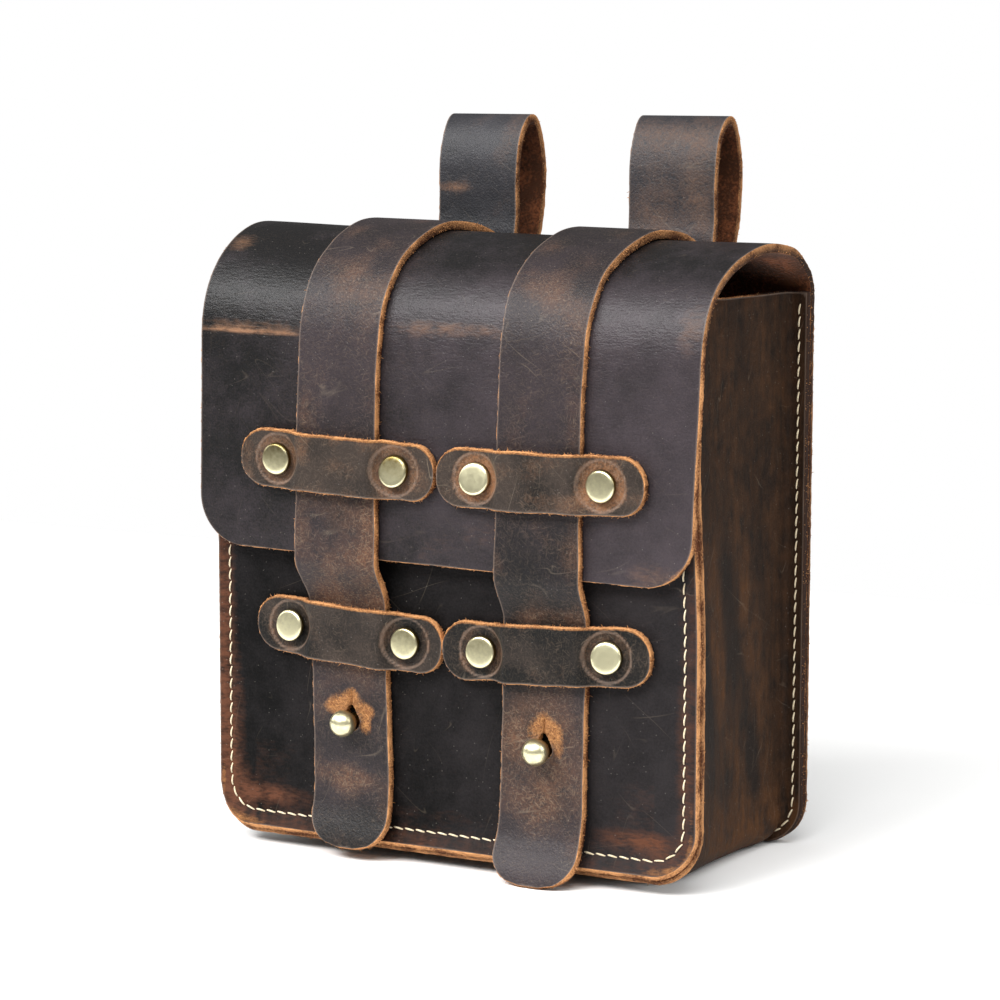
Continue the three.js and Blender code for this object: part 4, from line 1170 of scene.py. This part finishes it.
# %% Keepers
KEEPER_HEIGHT = 15.7
KEEPER_CORNER = 7.3
KEEPER_STEP = 0.59
KEEPER_CURL = 0.5
GRAIN_DROP = (-2.0, 4.0)
FLESH_DROP = (0.75, 1.9)
THINNEST = 0.5
PRESS_RADIUS, PRESS_DEPTH, PRESS_LINE = 6.9, 0.3, 0.4
KEEPER_WANDER = 0.2
for count, (name, keeper) in enumerate(KEEPERS.items()):
    half_length = keeper["length"] / 2
    ends = corner_rows(KEEPER_CORNER, 14)
    inner = half_length - KEEPER_CORNER
    between = np.linspace(-inner, inner, 84)[1:-1]
    columns = np.concatenate([-half_length + ends, between, (half_length - ends)[::-1]])
    rows = close_to_ends(STRAP_FINE, KEEPER_HEIGHT / 2, KEEPER_STEP)
    reach = KEEPER_HEIGHT / 2 - corner_inset(KEEPER_CORNER, half_length - np.abs(columns))
    reach = reach + KEEPER_WANDER * ripple(columns, 0 * columns, size=12, seed=40 + count)
    x, across = np.broadcast_arrays(columns[None], rows[:, None] * reach[None])
    from_rivet = np.hypot(np.abs(x) - keeper["spacing"] / 2, across)
    press = PRESS_DEPTH * (1 - smoothstep(from_rivet, PRESS_RADIUS - 0.9, PRESS_RADIUS + 0.4))
    grain = -LAYER - hump(x, GRAIN_DROP) * smoothstep(from_rivet, 4.7, 8.2) + press
    flesh = np.maximum(-GAP - hump(x, FLESH_DROP), grain + THINNEST)
    curl = KEEPER_CURL * (across / (KEEPER_HEIGHT / 2)) ** 2 * smoothstep(np.abs(x), inner + 6, inner - 8)
    grain, flesh = (on_bag(np.stack([x, face - curl, across], -1), keeper) for face in (grain, flesh))
    ring = bell(from_rivet - PRESS_RADIUS, PRESS_LINE) * (0.25 + 0.5 * keeper["press"])
    pressed = keeper["press"] * smoothstep(from_rivet, PRESS_RADIUS, PRESS_RADIUS - 1)
    patchy = 0.1 + 0.14 * ripple(x, across, size=11, seed=50 + count)
    leather_wall(
        f"keeper_{name}",
        grain,
        leathers["keeper"],
        "strap_leather",
        flesh=flesh,
        worn=ring + pressed + patchy * (1.0 if keeper["on_flap"] else 0.5),
        raw=bell(reach[None] - across, 0.55),
        edge=np.abs(from_rivet - PRESS_RADIUS),
        bloom=keeper["bloom"] + 0.4 * ripple(x, across, size=13, seed=44 + count),
    )

# %% [markdown]
# Behind each strap a belt loop stands above the bag: a strip that goes up, over a round crest and down
# again, with both ends sewn to the back. It is too stiff to drape, so no simulation is needed, and its
# line in the side view is a smooth curve through a few points. A bevelled curve could make the strip too,
# but it would have no grain and flesh side.

# %% Belt loops
FRONT_SEAT = BODY_DEPTH + LAYER + GAP
BACK_SEAT = FRONT_SEAT + LEATHER + LAYER
CREST_START, CREST_TOP, CREST_DEPTH = 187.0, 205.5, 19.4
LEG_OUT = -2.2
FRONT_LEG = np.array(
    [
        (0, STRAP_TAIL_HEIGHT), (0, 140), (0, 157), (-1.2, 163), (-2.8, 170), (LEG_OUT, 176),
        (LEG_OUT, CREST_START),
    ]
)
BACK_LEG = np.array([(9.4, 174), (5, 157), (1.2, 143), (0, 136), (0, STRAP_TAIL_HEIGHT)])
LOOP_WANDER = 0.25
LOOPS = {"left": {"x": -33.0, "width": 25.7}, "right": {"x": 30.2, "width": 27.0}}
LOOP_RUBS = {  # across, along from the front leg's foot, reach across, reach along, amount
    "left": [(-9, 66.5, 5, 1.0, 0.9), (9, 84, 4, 12, 0.2)],
    "right": [(0, 70, 22, 24, 0.2), (0, 82, 14, 5, 0.2), (-6, 58, 8, 6, 0.22), (8, 66, 5, 14, 0.2)],
}
crest_turn = np.linspace(0, np.pi, 13)[1:]
crest_depth = FRONT_SEAT + LEG_OUT + CREST_DEPTH / 2 * (1 - np.cos(crest_turn))
crest_height = CREST_START + (CREST_TOP - CREST_START) * np.sin(crest_turn)
crest = np.stack([crest_depth, crest_height], -1)
loop_line = np.concatenate([FRONT_LEG + [FRONT_SEAT, 0], crest, BACK_LEG + [BACK_SEAT, 0]])
loop_line = evenly(curve_through(loop_line, 10), 1.2)
length = lengths_along(loop_line)
columns = close_to_ends(STRAP_FINE, STRAP_WIDTH / 2, STRAP_STEP)
wander = LOOP_WANDER * ripple(length, 0 * length, size=24, seed=60)
for count, (name, loop) in enumerate(LOOPS.items()):
    across = columns[None] * (loop["width"] / 2 + wander)[:, None]
    depth, height, along = (np.broadcast_to(v[:, None], across.shape) for v in (*loop_line.T, length))
    patchy = 0.1 * ripple(across, along, size=18, seed=70 + count)
    leather_wall(
        f"belt_loop_{name}",
        np.stack([loop["x"] + across, depth, height], -1),
        leathers["loop"],
        "strap_leather",
        worn=rubs(across, along, LOOP_RUBS[name]) + patchy + 0.04,
        # Painted shade, partly the edges' own tone: darker cut edges all round.
        soil=0.7,
    )

# %% [markdown]
# Rivets and studs are turned shapes: a profile of radius and depth, carried round an axis. A Screw
# modifier could do it. It is worked out here so that the film of tarnish, which is high where a cloth
# can't reach, can be written down with the profile.

# %% Turned shapes
TURN_SIDES = 48


def turned(profile):
    """A profile carried round the depth axis: rows of points from pole to pole, their faces and film."""
    angle = np.linspace(0, 2 * np.pi, TURN_SIDES, endpoint=False)
    radius, depth, film_and_painted_shade = profile[1:-1].T
    parts = [radius[:, None] * np.cos(angle), depth[:, None] + 0 * angle, radius[:, None] * np.sin(angle)]
    body = np.stack(parts, -1).reshape(-1, 3)
    points = np.concatenate([body, [(0, profile[0, 1], 0), (0, profile[-1, 1], 0)]])
    film_and_painted_shade = np.concatenate([np.repeat(film_and_painted_shade, TURN_SIDES), [profile[0, 2], profile[-1, 2]]])
    number = np.arange(len(body)).reshape(-1, TURN_SIDES)
    nxt = np.roll(number, -1, axis=1)
    quads = np.stack([number[:-1], number[1:], nxt[1:], nxt[:-1]], -1).reshape(-1, 4)
    front = np.stack([np.full(TURN_SIDES, len(body)), number[0], nxt[0]], -1)
    back = np.stack([np.full(TURN_SIDES, len(body) + 1), nxt[-1], number[-1]], -1)
    return points, quads.tolist() + front.tolist() + back.tolist(), film_and_painted_shade


print("turned pieces:", TURN_SIDES, "points round")

# %% [markdown]
# A cap is a flat disc with a round shoulder, and leans a little as the press left it. A stud is a ball on
# a neck. Some caps have a raised film all over, partly tarnish and partly painted shade, and on them it is
# stronger towards the top, as painted shade. Cylinders with bevelled edges would do for the heads, but a
# profile turned round its axis gives head, neck and foot as one closed piece.

# %% Rivets and studs
TURN_SHARP = 35
CAP_PROFILE = np.array(
    [  # radius, depth from the seat, film
        (0, -1.6, 0), (1.6, -1.59, 0), (2.8, -1.56, 0), (3.6, -1.51, 0), (4.0, -1.42, 0), (4.26, -1.2, 0.1),
        (4.42, -0.8, 0.6), (4.5, -0.3, 1), (4.45, 0, 1), (1.5, 0, 1), (1.5, 5.7, 1), (3.6, 5.7, 0.6),
        (3.6, 6.2, 0.4), (3.2, 6.5, 0.2), (0, 6.5, 0),
    ]
)
CAP_LEAN = [4.0, 0.0]  # degrees, backwards at the top and to the side
CAP_LEAN_SPREAD = 3.0
STUD_HEAD, STUD_NECK, STUD_MIDDLE = 3.75, 1.9, -7.05
STUD_FLATTER = 0.96  # the head's front is a little flatter than a ball
STUD_FOOT = [
    (STUD_NECK, -2.9, 1), (2.1, -0.4, 1), (2.1, 2.7, 1), (3.6, 2.7, 0.6), (3.6, 3.5, 0.3), (0, 3.5, 0),
]
ball = np.linspace(0, np.pi - np.arcsin(STUD_NECK / STUD_HEAD), 14)
ball_depth = STUD_MIDDLE - STUD_HEAD * np.cos(ball) * np.where(ball < np.pi / 2, STUD_FLATTER, 1.0)
ball_profile = np.stack([STUD_HEAD * np.sin(ball), ball_depth, smoothstep(ball, 1.2, 2.2)], -1)
STUD_PROFILE = np.concatenate([ball_profile, STUD_FOOT])


def place_brass(node, points, faces, film_and_painted_shade):
    """A turned piece of brass that stands for a node."""
    masks = {"film_and_painted_shade": film_and_painted_shade}
    place_mesh(f"{node}_brass", points, faces, [BRASS], node, masks=masks, sharp=TURN_SHARP)


cap_points, cap_faces, cap_film = turned(CAP_PROFILE)
for name, keeper in KEEPERS.items():
    for end, way, dull in zip(("outer", "inner"), (1, -1), keeper["dull"]):
        off = way * np.sign(keeper["x"]) * keeper["spacing"] / 2
        tip = np.radians(rng.normal(CAP_LEAN, CAP_LEAN_SPREAD))
        leaning = (cap_points[:, 2] * tip[0] + cap_points[:, 0] * tip[1])[:, None] * [0, 1, 0]
        points = on_bag(cap_points + leaning + [off, -LAYER - GAP, 0], keeper)
        # Painted shade, partly tarnish: a cap's film is raised all over, and more towards its top.
        film_and_painted_shade = cap_film + dull * (0.5 + 0.09 * cap_points[:, 2])
        place_brass(f"rivet_{name}_{end}", points, cap_faces, film_and_painted_shade)
stud_points, stud_faces, stud_film = turned(STUD_PROFILE)
for name, side in SIDES.items():
    points = stud_points + [strap_middle(side, side["stud"]), 0, side["stud"]]
    place_brass(f"stud_{name}", points, stud_faces, stud_film + 0.2)

# %% [markdown]
# A seam is a row of needle holes with a stitch of thread between each two. One stitch is a short tube
# that dives into its holes at both ends and lies slightly aslant. An Array modifier could repeat it along
# a curve, but each stitch has to lie on leather that turns, so all stitches of a seam are worked out as
# one mesh.

# %% Stitches
THREAD_RADIUS = 0.27
STITCH_RINGS = 7
STITCH_SIDES = 6
STITCH_SLANT = 0.22
STITCH_RISE, STITCH_SINK = 0.6, 0.38
STITCH_SHARP = 70


def seam(name, holes, facing):
    """Stitches from hole to hole. Over t from 0 to 1 a tube follows the chord, rises by the sine of t, and
    thins out at both ends; the slant moves its ends to opposite sides of the seam."""
    start, end, up = holes[:-1], holes[1:], unit(facing[:-1] + facing[1:])
    aside = np.cross(up, unit(end - start))
    t = np.linspace(0, 1, STITCH_RINGS)
    inset = 0.04 + 0.92 * t
    lift = STITCH_RISE * np.sin(np.pi * t) ** 0.6 - STITCH_SINK
    middle = start[:, None] + inset[:, None] * (end - start)[:, None]
    middle = middle + lift[:, None] * up[:, None] + STITCH_SLANT * (1 - 2 * t)[:, None] * aside[:, None]
    radius = THREAD_RADIUS * (0.35 + 0.65 * np.sin(np.pi * np.clip(t, 0.12, 0.88)) ** 0.5)
    angle = np.linspace(0, 2 * np.pi, STITCH_SIDES, endpoint=False)
    ring = np.cos(angle)[:, None] * aside[:, None, None] + np.sin(angle)[:, None] * up[:, None, None]
    points = middle[:, :, None] + radius[None, :, None, None] * ring
    number = np.arange(points[..., 0].size).reshape(points.shape[:-1])
    nxt = np.roll(number, -1, axis=2)
    quads = np.stack([number[:, :-1], nxt[:, :-1], nxt[:, 1:], number[:, 1:]], -1).reshape(-1, 4)
    caps = np.concatenate([number[:, 0, ::-1], number[:, -1]])
    faces = quads.tolist() + caps.tolist()
    place_mesh(name, points.reshape(-1, 3), faces, [THREAD], sharp=STITCH_SHARP)


print("thread:", 2 * THREAD_RADIUS, "mm thick")

# %% [markdown]
# The body has a front and a back seam, and each shows on both sides of the leather. The needle holes lie
# at even steps along a U, a few millimetres inside the panel's edge, and on the lip they face the way
# that the leather does. A pattern painted along the edge could show a seam from afar, but stitches stand
# up and cast shadows.

# %% Body seams
BACK_SEAM_INSET = 2.2


def u_seam(inset, low, top):
    """Needle holes along a U inside the panel's edge, at even steps from the middle of the bottom up both
    sides: x and height."""
    radius, low = PANEL_CORNER - inset, low + inset
    flat = HALF_WIDTH - inset - radius
    whole = flat + radius * np.pi / 2 + top - low - radius
    way = np.arange(int(whole / STITCH_PITCH) + 1) * STITCH_PITCH
    turn = np.clip((way - flat) / radius, 0, np.pi / 2)
    climb = np.maximum(way - flat - radius * np.pi / 2, 0)
    x = np.minimum(way, flat) + radius * np.sin(turn)
    z = low + radius * (1 - np.cos(turn)) + climb
    return np.concatenate([-x[:0:-1], x]), np.concatenate([z[:0:-1], z])


x, z = u_seam(SEAM_INSET, LIP_HEIGHT, FRONT_HEIGHT - 2)
distance, _, turn = panel_frame(x, z)
slope = flare(distance)[1] * np.cos(turn) ** 2 * (z < LIP_HEIGHT + PANEL_CORNER)
facing = unit(np.stack([0 * x, -np.ones_like(x), slope], -1))
front_face = np.stack([x, panel_depth(x, z), z], -1)
seam("front_seam_thread", tucked(front_face + [0, 0.3, 0]), facing)
seam("front_seam_inner_thread", tucked(front_face - FLANGE_DROP * facing), -facing)

x, z = u_seam(BACK_SEAM_INSET, FOOT_HEIGHT, MOUTH_HEIGHT - 1)
forward = np.tile([0.0, -1.0, 0.0], (len(x), 1))
flange_face = BODY_DEPTH - FLANGE_DROP - 0.1
seam("back_seam_inner_thread", np.stack([x, np.full_like(x, flange_face), z], -1), forward)
seam("back_seam_thread", np.stack([x, np.full_like(x, BODY_DEPTH), z], -1), -forward)

# %% [markdown]
# The ends of each belt loop and the strap's tail under them are sewn to the back with one box of
# stitches. It is the same stitch along another path.

# %% Loop stitching
BOX_HALF, BOX_LOW, BOX_HIGH = 9.0, STRAP_TAIL_HEIGHT + 3.5, STRAP_TAIL_HEIGHT + 15.5
box = np.array([(-1, BOX_LOW), (1, BOX_LOW), (1, BOX_HIGH), (-1, BOX_HIGH), (-1, BOX_LOW)]) * [BOX_HALF, 1]
box = evenly(box, STITCH_PITCH * 0.95)
for name, loop in LOOPS.items():
    holes = np.stack([loop["x"] + box[:, 0], np.full(len(box), BACK_SEAT), box[:, 1]], -1)
    seam(f"loop_{name}_thread", holes, np.tile([0.0, 1.0, 0.0], (len(box), 1)))

# %% [markdown]
# A cut through loosely fibred hide leaves a fringe. A hair system could grow it, but hair isn't part of a
# mesh and would be lost when the model is passed on. So each fibre is a needle with three sides and one
# bend, standing on the rim at a drawn place. Real fibres are thinner, and these are as coarse as they
# need to be to show. The left edges were cut cleaner, so fewer fibres stand there.

# %% Loose fibres on the cut edges
CLEANER = 0.2
FIBRE_THICKNESS = (0.06, 0.15)
FRINGES = {  # fibres on each millimetre of cut edge, and their length
    "strap": (3.2, 0.7),
    "keeper": (4.0, 0.6),
    "belt_loop": (2.0, 0.5),
    "front_panel": (2.0, 0.5),
    "gusset": (1.5, 0.45),
    "back_and_flap": (2.0, 0.5),
}


def fringe(name, rim, per_mm, length):
    """Fibres on a cut edge: place along it and across its thickness drawn evenly, length drawn with many
    short ones, pointing outwards with a drawn lean."""
    a, b = rim["spot"].T
    span = np.linalg.norm(rim["grain"][b] - rim["grain"][a], axis=1)
    span = span * np.where(rim["outward"][a, 0] < -0.5, CLEANER, 1.0)
    count = int(span.sum() * per_mm)
    edge = np.searchsorted(np.cumsum(span), rng.uniform(0, span.sum(), count)).clip(0, len(span) - 1)
    along, deep = rng.uniform(0, 1, (count, 1)), rng.uniform(0.02, 0.95, (count, 1))
    a, b = a[edge], b[edge]
    grain, flesh, outward = (
        rim[key][a] + along * (rim[key][b] - rim[key][a]) for key in ("grain", "flesh", "outward")
    )
    outward = unit(outward)
    root = grain + deep * (flesh - grain) + 0.08 * outward
    aim = unit(outward + rng.normal(0, 0.75, (count, 3)))
    aim = aim * np.where((aim * outward).sum(1, keepdims=True) < 0, -1, 1)
    reach = length * (0.25 + rng.exponential(0.45, (count, 1)).clip(0, 1.8))
    bend = unit(aim + rng.normal(0, 0.5, (count, 3)))
    thick = rng.uniform(*FIBRE_THICKNESS, (count, 1))
    side = unit(np.cross(aim, rng.normal(0, 1, (count, 3))))
    turn = np.radians([0, 120, 240])
    ring = np.cos(turn)[:, None] * side[:, None] + np.sin(turn)[:, None] * np.cross(aim, side)[:, None]
    base = root[:, None] + thick[:, None] * ring
    elbow = (root + 0.5 * reach * aim)[:, None] + 0.7 * thick[:, None] * ring
    tip = (root + 0.5 * reach * (aim + bend))[:, None]
    needles = np.concatenate([base, elbow, tip], 1)
    needles = needles[needles[:, :, 2].min(1) > 0.1]
    first = np.arange(len(needles))[:, None] * 7
    quads = np.concatenate([first + [i, (i + 1) % 3, 3 + (i + 1) % 3, 3 + i] for i in range(3)])
    tips = [first + [3 + i, 3 + (i + 1) % 3, 6] for i in range(3)]
    faces = quads.tolist() + np.concatenate(tips + [first + [2, 1, 0]]).tolist()
    place_mesh(name, needles.reshape(-1, 3), faces, [RAW_EDGE], sharp=180)


for kind, (per_mm, length) in FRINGES.items():
    for node, rim in rims.items():
        if node.startswith(kind):
            fringe(f"{node}_fibres", rim, per_mm, length)
